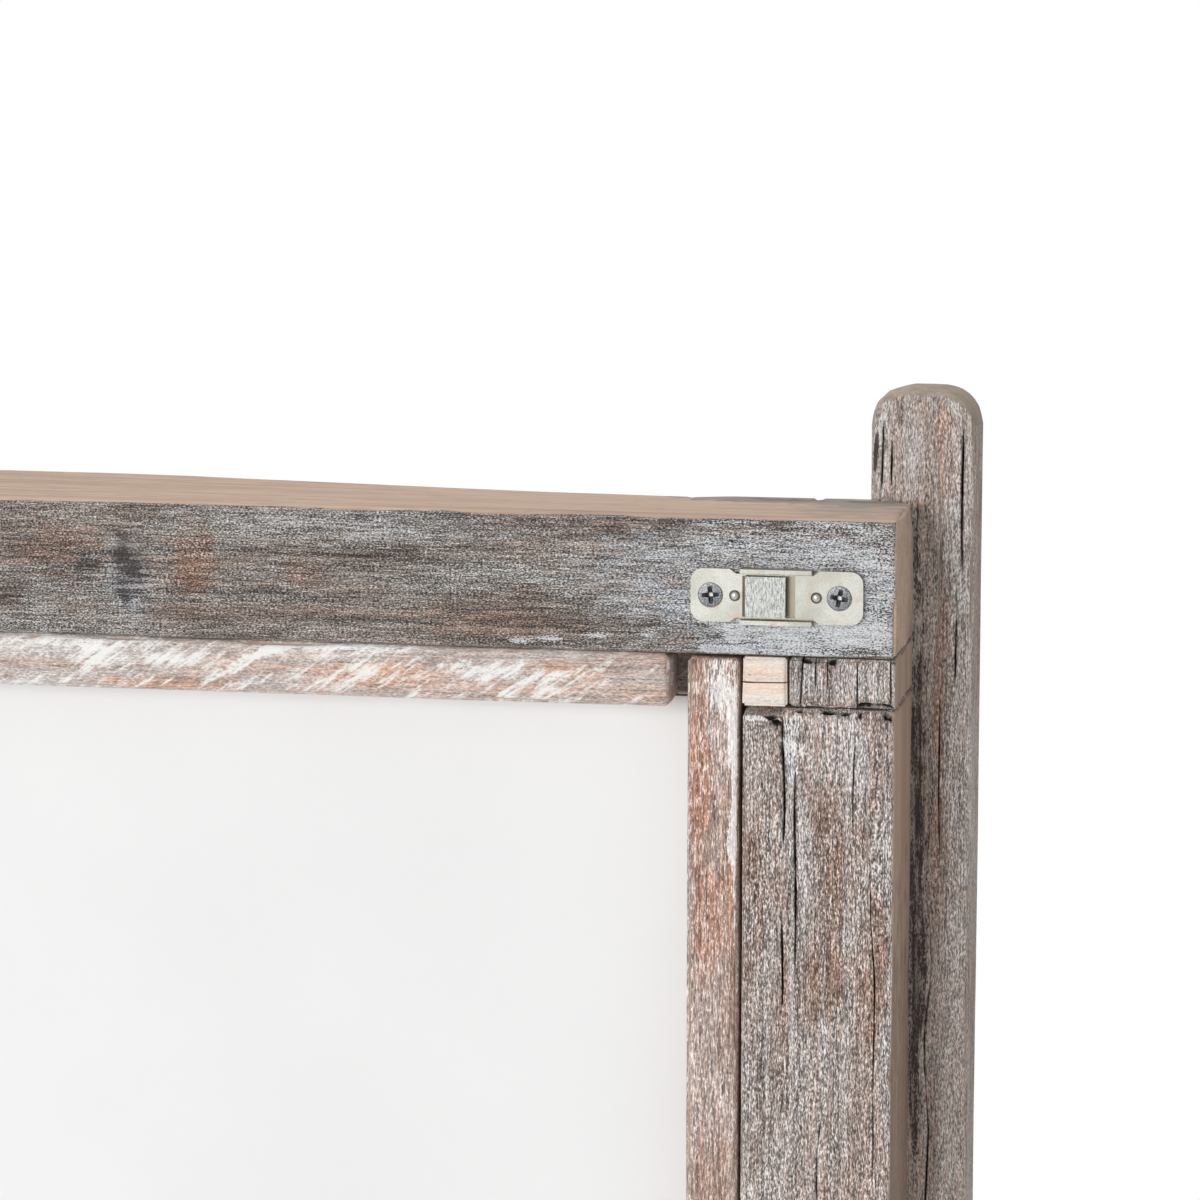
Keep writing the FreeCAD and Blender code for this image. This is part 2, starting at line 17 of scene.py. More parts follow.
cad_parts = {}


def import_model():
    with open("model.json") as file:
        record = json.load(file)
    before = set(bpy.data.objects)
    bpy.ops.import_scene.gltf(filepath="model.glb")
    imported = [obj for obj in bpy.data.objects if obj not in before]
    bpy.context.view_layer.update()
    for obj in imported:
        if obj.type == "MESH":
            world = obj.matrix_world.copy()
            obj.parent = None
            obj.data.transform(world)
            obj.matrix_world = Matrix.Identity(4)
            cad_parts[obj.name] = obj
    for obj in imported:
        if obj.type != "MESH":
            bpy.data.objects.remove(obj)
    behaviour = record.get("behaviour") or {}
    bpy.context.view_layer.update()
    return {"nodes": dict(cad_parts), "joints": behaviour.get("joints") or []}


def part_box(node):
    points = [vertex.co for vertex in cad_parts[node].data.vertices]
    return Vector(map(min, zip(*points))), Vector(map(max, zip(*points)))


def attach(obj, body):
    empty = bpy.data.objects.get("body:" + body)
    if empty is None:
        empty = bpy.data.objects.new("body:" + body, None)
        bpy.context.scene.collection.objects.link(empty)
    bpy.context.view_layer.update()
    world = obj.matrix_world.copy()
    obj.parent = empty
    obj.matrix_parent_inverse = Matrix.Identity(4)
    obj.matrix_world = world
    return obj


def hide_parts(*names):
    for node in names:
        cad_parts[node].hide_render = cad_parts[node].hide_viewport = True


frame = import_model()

MM = 0.001
U, V, Z = 0, 1, 2

# --- camera and light -------------------------------------------------------------------------
CAMERA_YAW = math.radians(10.481)
CAMERA_PITCH = math.radians(9.168)
CAMERA_DISTANCE = 1.334851
CAMERA_LENS = 143.76
SENSOR = 36.0
TARGET_FROM_END = 83.087 * MM      # from the free end of leaf c's top rail
TARGET_FROM_TOP = 24.381 * MM      # below the top of that rail
FLOOR_RADIUS = 4.4
WORLD_LIGHT = 0.56
LAMPS = (                           # name, place from the camera's target, diameter, watts
    ("key", (-1.4, -3.7, 0.5), 2.0, 78),
    ("top", (-0.3, 0.5, 2.5), 1.5, 22),
    ("back", (-1.6, 3.4, 0.4), 1.8, 36),
)

# --- timber -----------------------------------------------------------------------------------
EDGE_LINES = np.array((0.0, 0.3, 0.62, 1.0))             # lattice lines over a rounded edge, in radii
CRACK_LINES = np.array((-2.2, -1.0, -0.45, 0.0, 0.45, 1.0, 2.2))   # and over a crack, in half widths
COARSE_RUN, COARSE_CROSS = 14 * MM, 3.2 * MM
FINE_RUN, FINE_CROSS = 1.6 * MM, 1.1 * MM
# the layer for cracks is painted shade inside cracks, chips and hollows; the layer for dirt also carries
# painted shade in a few places
LAYERS = ("bare", "crack", "white", "warm", "cool", "soil", "scrape")
DIMPLE_PLACES = (12.4 * MM, 35.2 * MM)      # along a catch plate, from its lower-x end

Crack = namedtuple("Crack", "face side at start end width depth wander", defaults=(0.0,))
Mark = namedtuple("Mark", "layer amount at across half half_across tilt", defaults=(0.0,))


# --- noise ------------------------------------------------------------------------------------
def scrambled(cells, seed):
    """A repeatable number from 0 to 1 for each whole-number cell (n, 3)."""
    x, y, z = (cells[:, i].astype(np.uint64) for i in range(3))
    mixed = x * np.uint64(73856093) ^ y * np.uint64(19349663) ^ z * np.uint64(83492791)
    mixed = (mixed ^ np.uint64(seed * 2654435761 % 2**32)) * np.uint64(6364136223846793005)
    mixed = (mixed ^ (mixed >> np.uint64(29))) * np.uint64(1442695040888963407)
    return ((mixed >> np.uint64(40)) & np.uint64(0xFFFF)).astype(float) / 0xFFFF


def noise(points, seed):
    """Smooth value noise from -1 to 1 at points (n, 3)."""
    cells = np.floor(points).astype(np.int64)
    part = points - cells
    ease = part * part * (3 - 2 * part)
    total = np.zeros(len(points))
    for corner in itertools.product((0, 1), repeat=3):
        weight = np.prod(np.where(corner, ease, 1 - ease), axis=1)
        total += weight * scrambled(cells + np.array(corner), seed)
    return 2 * total - 1


def line_noise(places, length, seed):
    """Smooth noise along one line, with features about `length` long."""
    points = np.zeros((len(places), 3))
    points[:, 0] = places / length
    return noise(points, seed)


def smooth(value, low, high):
    """Eases from 0 at low to 1 at high, either way round."""
    share = np.clip((value - low) / (high - low), 0, 1)
    return share * share * (3 - 2 * share)


# --- the leaves' own axes ---------------------------------------------------------------------
def joint(name):
    return next(j for j in frame["joints"] if j["name"] == name)


def cad_points(node):
    mesh = frame["nodes"][node].data
    points = np.empty(len(mesh.vertices) * 3, np.float32)
    mesh.vertices.foreach_get("co", points)
    return points.reshape(-1, 3).astype(float)


class Leaf:
    """One leaf: its body, and the matrix from its own axes to the row frame."""

    def __init__(self, name, turn):
        self.name = name
        self.body = f"leaf_{name}"
        self.matrix = Matrix.Rotation(turn, 4, "Z")
        start = self.box("post_left")[0][U]
        front = self.box("top_rail")[0][V]
        self.matrix = self.matrix @ Matrix.Translation((start, front, 0))

    def box(self, part):
        """Lowest and highest corner of a CAD node, along this leaf's own axes."""
        node = part if part in frame["nodes"] else f"leaf_{self.name}_{part}"
        back = np.array(self.matrix.inverted())
        points = cad_points(node) @ back[:3, :3].T + back[:3, 3]
        return points.min(0), points.max(0)


FOLD = math.radians(joint("fold_b")["range_deg"][1])
LEAVES = {"a": Leaf("a", 0.0), "b": Leaf("b", -FOLD), "c": Leaf("c", 0.0)}
SHOWN = LEAVES["c"]
CORNER_U, _, CORNER_Z = SHOWN.box("top_rail")[1]
POST_CORNER = SHOWN.box("post_right")[1][[U, Z]]


# --- lattices ---------------------------------------------------------------------------------
def spaced(low, high, step):
    return np.linspace(low, high, max(1, round((high - low) / step)) + 1)


def stations(low, high, step, radius, fine=None):
    """Lattice lines from low to high, close over the rounded edges and inside fine (start, end, step)."""
    first, last = low + radius, high - radius
    marks = [low + radius * EDGE_LINES, high - radius * EDGE_LINES]
    if fine:
        start, end = np.clip(fine[:2], first, last)
        marks += [spaced(first, start, step), spaced(start, end, fine[2]), spaced(end, last, step)]
    else:
        marks.append(spaced(first, last, step))
    return np.unique(np.round(np.concatenate(marks), 6))


def make_room(lines, cracks):
    """The lattice lines with a close group of them over each crack."""
    for at, width in sorted({(c.at, c.width) for c in cracks}):
        group = at + width / 2 * CRACK_LINES
        keep = (lines < group[0] - width / 4) | (lines > group[-1] + width / 4)
        keep[[0, -1]] = True
        lines = np.unique(np.concatenate((lines[keep], group)))
    return lines


def block_shell(counts):
    """The lattice places on the surface of a block with counts (3) lines each way, and its outward quads."""
    strides = np.array((counts[1] * counts[2], counts[2], 1))
    quads = []
    for axis, side in itertools.product(range(3), (0, 1)):
        a, b = (axis + 1) % 3, (axis + 2) % 3
        i, j = np.meshgrid(np.arange(counts[a] - 1), np.arange(counts[b] - 1), indexing="ij")
        base = i.ravel() * strides[a] + j.ravel() * strides[b]
        base = base + side * (counts[axis] - 1) * strides[axis]
        ring = [base, base + strides[a], base + strides[a] + strides[b], base + strides[b]]
        quads.append(np.stack(ring if side else ring[::-1], axis=1))
    used, quads = np.unique(np.concatenate(quads), return_inverse=True)
    places = np.stack(np.unravel_index(used, counts), axis=1)
    return places, quads.reshape(-1, 4)


def across(face, grain):
    """The axis that crosses both a face's normal and the grain."""
    return 3 - face - grain


def squeeze(size, opening):
    """How far lattice lines move, in half widths, so that a crack narrows to its opening."""
    opening = np.clip(opening, 0.02, 1.1)
    outer = opening + (size - 1) / 1.2 * (2.2 - opening)
    return np.where(size <= 2.2, np.where(size <= 1, size * opening, outer) - size, 0)


class Bar:
    """A bar of timber on a leaf, as a lattice over its CAD box."""

    def __init__(self, leaf, box, grain, seed, radius, cracks=(), fine=None, fine_cross=False):
        self.leaf, self.grain, self.seed, self.radius = leaf, grain, seed, radius
        self.low, self.high = (np.array(corner, float) for corner in box)
        self.lay_lattice(cracks, fine, FINE_CROSS if fine_cross else COARSE_CROSS)
        self.round_edges()
        self.paint = {layer: np.zeros(len(self.home)) for layer in LAYERS}
        self.grain_shift = np.random.default_rng(seed).uniform(-4, 4, 3)
        self.wave()
        self.wear()
        for number, crack in enumerate(cracks):
            self.open_crack(crack, seed * 31 + number)

    def lay_lattice(self, cracks, fine, cross_step):
        """Vertices over the box, closer in the fine stretch of its length and over its cracks."""
        lines = []
        for axis in range(3):
            step, close = (COARSE_RUN, fine) if axis == self.grain else (cross_step, None)
            row = stations(self.low[axis], self.high[axis], step, self.radius, close)
            own = [c for c in cracks if across(c.face, self.grain) == axis]
            lines.append(make_room(row, own))
        places, self.quads = block_shell([len(row) for row in lines])
        self.home = np.stack([lines[axis][places[:, axis]] for axis in range(3)], axis=1)

    def round_edges(self):
        """Rounds the box's edges; self.edge is 1 in the middle of one and 0 on the faces."""
        core = np.clip(self.home, self.low + self.radius, self.high - self.radius)
        self.normal = self.home - core
        self.normal /= np.linalg.norm(self.normal, axis=1)[:, None]
        self.points = core + self.radius * self.normal
        sizes = np.sort(np.abs(self.normal), axis=1)
        self.edge = 2 * sizes[:, 1] * sizes[:, 2]

    def run(self):
        return self.home[:, self.grain]

    def stretched(self, length, width):
        """Noise coordinates with features `length` long and `width` across the grain."""
        scale = np.full(3, 1 / width)
        scale[self.grain] = 1 / length
        return self.home * scale

    def facing(self, axis, side):
        """How much each vertex faces one way, from 0 to 1."""
        return smooth(self.normal[:, axis] * side, 0.55, 0.95)

    def wave(self, amount=0.3 * MM):
        """Faces that dip a little, along and across the grain."""
        dip = noise(self.stretched(90 * MM, 14 * MM), self.seed) + 0.6 * noise(
            self.stretched(18 * MM, 3 * MM), self.seed + 1
        )
        self.points -= self.normal * (amount * (0.5 + 0.45 * dip))[:, None]

    def wear(self, amount=0.9 * MM):
        """Edges rubbed unevenly, and pale where they are."""
        rub = noise(self.stretched(22 * MM, 9 * MM), self.seed + 2)
        rub = smooth(rub + 0.5 * noise(self.stretched(5 * MM, 4 * MM), self.seed + 3), -0.4, 0.9)
        self.points -= self.normal * (amount * self.edge * rub)[:, None]
        self.paint["bare"] += 0.85 * self.edge * rub

    def open_crack(self, crack, seed):
        """Cuts a crack into one face, along the grain, with a wandering line and a ragged width."""
        run = self.run()
        cross = across(crack.face, self.grain)
        half = crack.width / 2
        share = np.clip((run - crack.start) / (crack.end - crack.start), 0, 1)
        taper = np.sin(np.pi * share) ** 0.6
        ragged = 0.7 + 0.35 * line_noise(run, 9 * MM, seed) + 0.25 * line_noise(run, 3 * MM, seed + 7)
        offset = self.home[:, cross] - crack.at
        size = np.abs(offset) / half        # from the crack's line, in half widths
        drift = crack.wander * line_noise(run, 26 * MM, seed + 1) * smooth(size, 9, 2.2)
        moved = np.sign(offset) * half * squeeze(size, taper * ragged) * (share > 0) * (share < 1)
        self.points[:, cross] += moved + drift
        self.sink_crack(crack, size, taper, taper * ragged)

    def sink_crack(self, crack, size, taper, opening):
        """Pushes a crack's middle lines down into the face and darkens them with painted shade."""
        face = self.high[crack.face] if crack.side > 0 else self.low[crack.face]
        under = np.abs(self.home[:, crack.face] - face)
        fade = np.clip(1 - under / (3 * crack.depth), 0, 1)
        deep = smooth(size, 1.05, 0.4) * taper * fade
        self.points[:, crack.face] -= crack.side * crack.depth * deep
        # painted shade down inside the crack
        dark = smooth(size, 1.5, 0.6) * smooth(opening, 0.05, 0.4) * fade
        self.paint["crack"] = np.maximum(self.paint["crack"], dark)

    def dent(self, at, radius, push):
        """Pushes a round patch of the surface by the vector push."""
        away = np.linalg.norm((self.home - at) / radius, axis=1)
        self.points += smooth(away, 1, 0)[:, None] * np.asarray(push)

    def paint_hollow_shade(self, at, radius, amount):
        """Paints shade on a round patch, as dark as the inside of a crack."""
        away = np.linalg.norm((self.home - at) / radius, axis=1)
        self.paint["crack"] = np.maximum(self.paint["crack"], amount * smooth(away, 0.9, 0.4))

    def mark(self, marks, face=V, side=-1):
        """Paints soft ovals on one face; each is placed from the shown corner of leaf c, in millimetres."""
        shown = self.facing(face, side)
        for number, m in enumerate(marks):
            x = (CORNER_U - self.home[:, U]) / MM - m.at
            depth = self.home[:, V] if face == Z else CORNER_Z - self.home[:, Z]
            y = depth / MM - m.across
            turn = math.radians(m.tilt)
            along = (x * math.cos(turn) + y * math.sin(turn)) / m.half
            over = (y * math.cos(turn) - x * math.sin(turn)) / m.half_across
            ragged = 0.4 * noise(self.stretched(6 * MM, 2.5 * MM), self.seed + 50 + number)
            ragged += 0.3 * noise(self.stretched(2.6 * MM, 1.8 * MM), self.seed + 90 + number)
            reach = np.hypot(along, over) + ragged
            self.paint[m.layer] += m.amount * smooth(reach, 1.3, 0.3) * shown

    def crown(self, corner, crown, widths):
        """Bends the flat top into a round head: arcs of those radii, with its shoulders widths across."""
        middle, half = (self.low[U] + self.high[U]) / 2, (self.high[U] - self.low[U]) / 2
        foot = self.high[Z] - 2.4 * corner
        place = self.points[:, U] - middle
        out = np.clip(np.abs(place), 0, half)
        width = np.where(place < 0, *widths)
        seat = math.sqrt((crown - corner) ** 2 - (half - corner) ** 2) - crown
        top = np.sqrt(crown**2 - out**2) - crown
        inset = np.clip((out - half + width) / width, 0, 1)
        shoulder = seat + corner * np.sqrt(1 - inset**2)
        roof = self.high[Z] + np.minimum(top, shoulder)
        rise = np.clip(self.points[:, Z] - foot, 0, None)
        self.points[:, Z] = np.minimum(self.points[:, Z], foot) + rise * (roof - foot) / (2.4 * corner)

    def piece(self, name, material, node=None):
        """The bar as a Blender object that stands for a CAD node, which has its name unless one is given."""
        mesh = smooth_mesh(f"timber_{name}", self.points, self.quads, material)
        for layer, values in self.paint.items():
            store = mesh.attributes.new(layer, "FLOAT", "POINT")
            store.data.foreach_set("value", np.clip(values, -1, 1).astype(np.float32))
        order = [self.grain] + [axis for axis in range(3) if axis != self.grain]
        grown = (self.home[:, order] + self.grain_shift).astype(np.float32)
        mesh.attributes.new("growth", "FLOAT_VECTOR", "POINT").data.foreach_set("vector", grown.ravel())
        mesh.validate()
        place_piece(mesh, self.leaf, node or name, self.leaf.matrix)


def smooth_mesh(name, points, faces, material):
    """A smooth-shaded mesh with one material."""
    mesh = bpy.data.meshes.new(name)
    mesh.from_pydata(points, [], faces)
    mesh.shade_smooth()
    mesh.materials.append(material)
    return mesh


def place_piece(mesh, leaf, node, matrix=Matrix()):
    """The mesh as an object that rides on a leaf and stands for a CAD node."""
    thing = bpy.data.objects.new(mesh.name, mesh)
    thing.matrix_world = matrix
    bpy.context.scene.collection.objects.link(thing)
    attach(thing, leaf.body)
    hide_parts(node)


# --- materials --------------------------------------------------------------------------------
class Graph:
    """A short way to write a material's nodes."""

    def __init__(self, name, roughness, metallic=0.0, specular=0.3):
        self.material = bpy.data.materials.new(name)
        self.material.use_nodes = True
        self.tree = self.material.node_tree
        self.shader = self.tree.nodes["Principled BSDF"]
        self.shader.inputs["Roughness"].default_value = roughness
        self.shader.inputs["Metallic"].default_value = metallic
        self.shader.inputs["Specular IOR Level"].default_value = specular

    def node(self, kind, **settings):
        made = self.tree.nodes.new(kind)
        for key, value in settings.items():
            setattr(made, key, value)
        return made

    def feed(self, socket, value):
        if isinstance(value, bpy.types.NodeSocket):
            self.tree.links.new(value, socket)
        elif isinstance(value, (tuple, list)) and len(value) == 3 and socket.type == "RGBA":
            socket.default_value = (*value, 1.0)
        else:
            socket.default_value = value

    def attribute(self, name, output="Fac"):
        return self.node("ShaderNodeAttribute", attribute_name=name).outputs[output]

    def math(self, operation, a, b=0.0, clamp=False):
        made = self.node("ShaderNodeMath", operation=operation, use_clamp=clamp)
        self.feed(made.inputs[0], a)
        self.feed(made.inputs[1], b)
        return made.outputs[0]

    def total(self, *parts):
        """The sum of (socket, weight) pairs, plus any bare numbers."""
        answer = None
        for part in parts:
            term = self.math("MULTIPLY", *part) if isinstance(part, tuple) else part
            answer = term if answer is None else self.math("ADD", answer, term)
        return answer

    def noise(self, where, scale, detail=3.0, roughness=0.6, distortion=0.0):
        """Noise about a mean of a half, with its own scale along each axis."""
        spread = self.node("ShaderNodeVectorMath", operation="MULTIPLY")
        self.feed(spread.inputs[0], where)
        spread.inputs[1].default_value = scale
        made = self.node("ShaderNodeTexNoise", noise_dimensions="3D")
        self.feed(made.inputs["Vector"], spread.outputs[0])
        made.inputs["Scale"].default_value = 1.0
        made.inputs["Detail"].default_value = detail
        made.inputs["Roughness"].default_value = roughness
        made.inputs["Distortion"].default_value = distortion
        return made.outputs["Fac"]

    def ramp(self, value, low, high, least=0.0, most=1.0):
        made = self.node("ShaderNodeMapRange", interpolation_type="SMOOTHSTEP")
        self.feed(made.inputs["Value"], value)
        for key, number in (("From Min", low), ("From Max", high), ("To Min", least), ("To Max", most)):
            made.inputs[key].default_value = number
        return made.outputs["Result"]

    def mix(self, share, a, b, blend="MIX"):
        made = self.node("ShaderNodeMix", data_type="RGBA", blend_type=blend)
        self.feed(made.inputs["Factor"], share)
        self.feed(made.inputs["A"], a)
        self.feed(made.inputs["B"], b)
        return made.outputs["Result"]

    def grey(self, value):
        """A grey of that brightness, to multiply a colour with."""
        made = self.node("ShaderNodeCombineColor")
        for socket in made.inputs:
            self.feed(socket, value)
        return made.outputs["Color"]

    def finish(self, colour, height=None, bump=0.5, reach=0.3 * MM, roughness=None):
        self.feed(self.shader.inputs["Base Color"], colour)
        if roughness is not None:
            self.feed(self.shader.inputs["Roughness"], roughness)
        if height is not None:
            made = self.node("ShaderNodeBump")
            made.inputs["Strength"].default_value = bump
            made.inputs["Distance"].default_value = reach
            self.feed(made.inputs["Height"], height)
            self.feed(self.shader.inputs["Normal"], made.outputs["Normal"])
        return self.material


def brighter(colour, share):
    return tuple(min(c * share, 1.0) for c in colour)


def shade(red, green, blue):
    """A colour from its 0 to 255 values as seen on a screen."""
    return tuple(((c / 255 + 0.055) / 1.055) ** 2.4 if c > 10 else c / 3294.6 for c in (red, green, blue))


BLUE_GREY, OLD_GREY = shade(176, 184, 196), shade(140, 135, 130)
# the dirt colour also serves as painted shade where the marks put shade
BRUSH_WHITE, DIRT_AND_SHADE = shade(242, 241, 238), shade(56, 49, 47)
# the crack colour is painted shade, for the insides of cracks, chips and hollows
PIT_DARK, PAINTED_CRACK_SHADE = shade(56, 48, 45), shade(22, 17, 15)
Tone = namedtuple("Tone", "dark mid light warm white whitewash contrast sanded speck banding fibrous scrape",
                  defaults=(1.0, 0.0))


Grain = namedtuple("Grain", "where fibre streak speck bands blotch rings stain")


def grain_noises(g, speck):
    """The noises that a timber's layers share; the first axis runs along the grain."""
    where = g.attribute("growth", "Vector")
    return Grain(
        where,
        fibre=g.noise(where, (150, 2000, 2000), 3, 0.65),
        streak=g.noise(where, (40, 900, 900), 3, 0.62),
        speck=g.noise(where, (speck, 2700, 2700), 1, 0.8),
        bands=g.noise(where, (7, 230, 230), 2, 0.55, 0.2),
        blotch=g.noise(where, (22, 75, 75), 4, 0.6, 0.5),
        rings=g.noise(where, (5, 190, 190), 3, 0.55, 0.3),
        stain=g.noise(where, (9, 26, 26), 3, 0.55))


def weathered(g, n, tone):
    """The timber's own colour in rings and bands, greyed, rusty or bluish in patches."""
    body = g.mix(g.ramp(n.rings, 0.36, 0.64), tone.dark, tone.mid)
    body = g.mix(g.ramp(n.bands, 0.5, 0.64, 0.0, tone.banding), body, tone.warm)
    body = g.mix(g.ramp(n.bands, 0.48, 0.36, 0.0, tone.banding), body, tone.light)
    grey = g.total((n.blotch, 1.0), (g.attribute("cool"), 0.3), (n.stain, 0.4), (g.attribute("warm"), -0.4))
    body = g.mix(g.ramp(grey, 0.5, 0.95), body, tone.light)
    rust = g.total((n.stain, 0.7), (n.streak, 0.5), (n.fibre, 0.4), (g.attribute("warm"), 0.4))
    body = g.mix(g.ramp(rust, 0.74, 1.2), body, tone.warm)
    blue = g.total((g.attribute("cool"), 0.7), (n.fibre, 0.5), -0.25)
    return g.mix(g.ramp(blue, 0.0, 1.0, 0.0, 0.6), body, BLUE_GREY)


def fibred(g, n, tone, body):
    """Light and dark fibres and specks: the more fibrous the tone, the fewer the specks."""
    lines = 0.12 + 0.25 * tone.fibrous
    fibres = 0.45 * tone.fibrous
    contrast = g.total((n.fibre, fibres), (n.streak, lines), (n.speck, 1.23 - lines - fibres))
    lift = g.ramp(contrast, 0.46, 0.79, 1 - tone.contrast, 1 + tone.contrast)
    return g.mix(1.0, body, g.grey(lift), "MULTIPLY")


def wash_left(g, n, tone):
    """Where whitewash is left in the grain, from 0 to 1."""
    finer = 0.5 * (1 - tone.fibrous)
    patch = g.total((n.fibre, 0.6 - finer), (n.speck, 0.55 + finer), (n.blotch, 0.3),
                    (g.attribute("white"), 0.5))
    return g.ramp(patch, tone.white, tone.white + 0.2)


def gritty(g, n, tone, body):
    """Fine grit over the whitewash."""
    change = 0.5 * tone.contrast
    grit = g.ramp(g.total((n.speck, 0.6), (n.fibre, 0.4)), 0.34, 0.66, 1 - change, 1 + change)
    return g.mix(1.0, body, g.grey(grit), "MULTIPLY")


def sanded_wood(g, n, tone):
    """Newer wood on sawn and sanded faces, grey where it is marked cool."""
    wood = g.mix(g.ramp(n.streak, 0.3, 0.7), tone.sanded, brighter(tone.sanded, 1.28))
    wood = g.mix(g.ramp(n.rings, 0.45, 0.65, 0.0, 0.6), wood, brighter(tone.sanded, 0.8))
    wood = g.mix(g.ramp(n.stain, 0.5, 0.75, 0.0, 0.5), wood, tone.mid)
    wood = g.mix(g.ramp(n.fibre, 0.5, 0.72, 0.0, 0.5), wood, brighter(tone.sanded, 0.62))
    return g.mix(g.ramp(g.attribute("cool"), 0.1, 0.9, 0.0, 0.8), wood, OLD_GREY)


def dirtied_and_shaded(g, n, body):
    """Dirt in the marked places, some of them painted shade, and the painted shade of cracks."""
    dirt_and_shade = g.total((g.attribute("soil"), 0.8), (n.speck, 0.7), (n.blotch, 0.3))
    body = g.mix(g.ramp(dirt_and_shade, 0.7, 1.45, 0.0, 0.75), body, DIRT_AND_SHADE)
    return g.mix(g.ramp(g.attribute("crack"), 0.15, 0.8), body, PAINTED_CRACK_SHADE)


def timber(name, tone):
    """Weathered timber with whitewash left in its grain, bare where it is sanded or rubbed."""
    g = Graph(name, roughness=0.85, specular=0.25)
    n = grain_noises(g, tone.speck)
    body = fibred(g, n, tone, weathered(g, n, tone))
    washed = wash_left(g, n, tone)
    body = g.mix(g.math("MULTIPLY", washed, 0.85), body, tone.whitewash)
    body = gritty(g, n, tone, body)
    if tone.scrape:
        body = g.mix(strokes(g, n.where, tone.scrape), body, BRUSH_WHITE)
    pits = g.total((n.streak, 0.6), (n.speck, 0.4), (g.attribute("soil"), -0.25))
    body = g.mix(g.ramp(pits, 0.4, 0.28, 0.0, 0.8), body, PIT_DARK)
    bare = g.total((g.attribute("bare"), 1.0), (n.fibre, 0.5), (n.blotch, 0.4))
    body = g.mix(g.ramp(bare, 0.85, 1.15), body, sanded_wood(g, n, tone))
    body = dirtied_and_shaded(g, n, body)
    height = g.total((n.fibre, 0.6), (n.streak, 0.5), (n.speck, 0.5), (washed, 0.15))
    return g.finish(body, height, bump=0.6)


def strokes(g, where, amount):
    """Slanting brush marks of whitewash across the grain."""
    turned = g.node("ShaderNodeVectorRotate", rotation_type="AXIS_ANGLE")
    g.feed(turned.inputs["Vector"], where)
    turned.inputs["Axis"].default_value = (0, 1, 0)
    turned.inputs["Angle"].default_value = math.radians(33)
    brush = g.noise(turned.outputs[0], (130, 300, 900), 3, 0.6)
    broad = g.noise(turned.outputs[0], (70, 150, 300), 2, 0.6)
    patch = g.noise(where, (30, 120, 120), 2, 0.5)
    fine = g.noise(where, (900, 1500, 1500), 2, 0.7)
    thick = g.total((brush, 0.55), (broad, 0.5), (patch, 0.4), (fine, 0.25), (g.attribute("scrape"), 0.22))
    return g.ramp(thick, 1.02 - amount, 1.2 - amount, 0.0, 0.9)


RAIL_TIMBER = timber("rail_timber", Tone(
    dark=shade(100, 90, 84), mid=shade(126, 116, 109), light=shade(142, 138, 134),
    warm=shade(132, 106, 92), white=0.76, whitewash=shade(196, 198, 200), contrast=0.74,
    sanded=shade(184, 160, 143), speck=1450, banding=0.25, fibrous=0.65))
STILE_TIMBER = timber("stile_timber", Tone(
    dark=shade(122, 106, 98), mid=shade(156, 142, 134), light=shade(176, 169, 165),
    warm=shade(152, 122, 106), white=0.74, whitewash=shade(222, 220, 218), contrast=0.66,
    sanded=shade(168, 144, 127), speck=850, banding=0.7, fibrous=0.85))
POST_TIMBER = timber("post_timber", Tone(
    dark=shade(130, 118, 111), mid=shade(166, 154, 146), light=shade(186, 179, 174),
    warm=shade(166, 138, 124), white=0.79, whitewash=shade(214, 212, 209), contrast=0.5,
    sanded=shade(158, 144, 131), speck=850, banding=0.65, fibrous=0.85))
BEAD_TIMBER = timber("bead_timber", Tone(
    dark=shade(150, 121, 108), mid=shade(172, 144, 130), light=shade(190, 176, 169),
    warm=shade(182, 132, 108), white=0.74, whitewash=shade(236, 233, 230), contrast=0.5,
    sanded=shade(168, 138, 118), speck=700, banding=0.5))
BRUSHED_TIMBER = timber("brushed_timber", Tone(
    dark=shade(174, 155, 145), mid=shade(192, 177, 168), light=shade(200, 195, 193),
    warm=shade(200, 160, 138), white=0.82, whitewash=shade(234, 232, 230), contrast=0.32,
    sanded=shade(190, 160, 140), speck=900, banding=0.4, scrape=0.19))
FRESH_TIMBER = timber("fresh_timber", Tone(
    dark=shade(228, 208, 194), mid=shade(238, 222, 211), light=shade(232, 228, 223),
    warm=shade(238, 208, 186), white=1.1, whitewash=shade(244, 240, 236), contrast=0.1,
    sanded=shade(232, 210, 194), speck=900, banding=0.5))


def object_places(g):
    return g.node("ShaderNodeTexCoord").outputs["Object"]


def painted_board():
    """A board rolled with matt white paint: a faint orange peel and fainter clouds."""
    g = Graph("painted_board", roughness=0.7, specular=0.2)
    where = object_places(g)
    clouds = g.noise(where, (6, 6, 6), 3, 0.5)
    peel = g.noise(where, (900, 900, 900), 2, 0.5)
    colour = g.mix(g.ramp(clouds, 0.3, 0.7), shade(232, 232, 232), shade(237, 237, 237))
    return g.finish(colour, peel, bump=0.08, reach=0.1 * MM)


def metal(name, dark, light, roughness, dirt=0.0):
    """Plated or bare sheet metal, with a fine grain, faint tarnish and dirt in its speckles."""
    g = Graph(name, roughness=roughness, metallic=0.85, specular=0.5)
    where = object_places(g)
    cloud = g.noise(where, (90, 90, 90), 4, 0.6)
    grain = g.noise(where, (1500, 1500, 1500), 3, 0.7)
    colour = g.mix(g.ramp(cloud, 0.35, 0.65), dark, light)
    colour = g.mix(g.ramp(grain, 0.62, 0.75, 0.0, dirt), colour, shade(90, 84, 76))
    rough = g.ramp(g.total((grain, 0.5), (cloud, 0.5)), 0.3, 0.7, roughness - 0.08, roughness + 0.12)
    return g.finish(colour, grain, bump=0.25, reach=0.08 * MM, roughness=rough)


def between(g, value, low, full, still, high, most=1.0):
    """A share that rises from low to full and falls from still to high, in millimetres."""
    fall = g.ramp(value, high * MM, still * MM, 0.0, most)
    return g.math("MULTIPLY", g.ramp(value, low * MM, full * MM), fall)


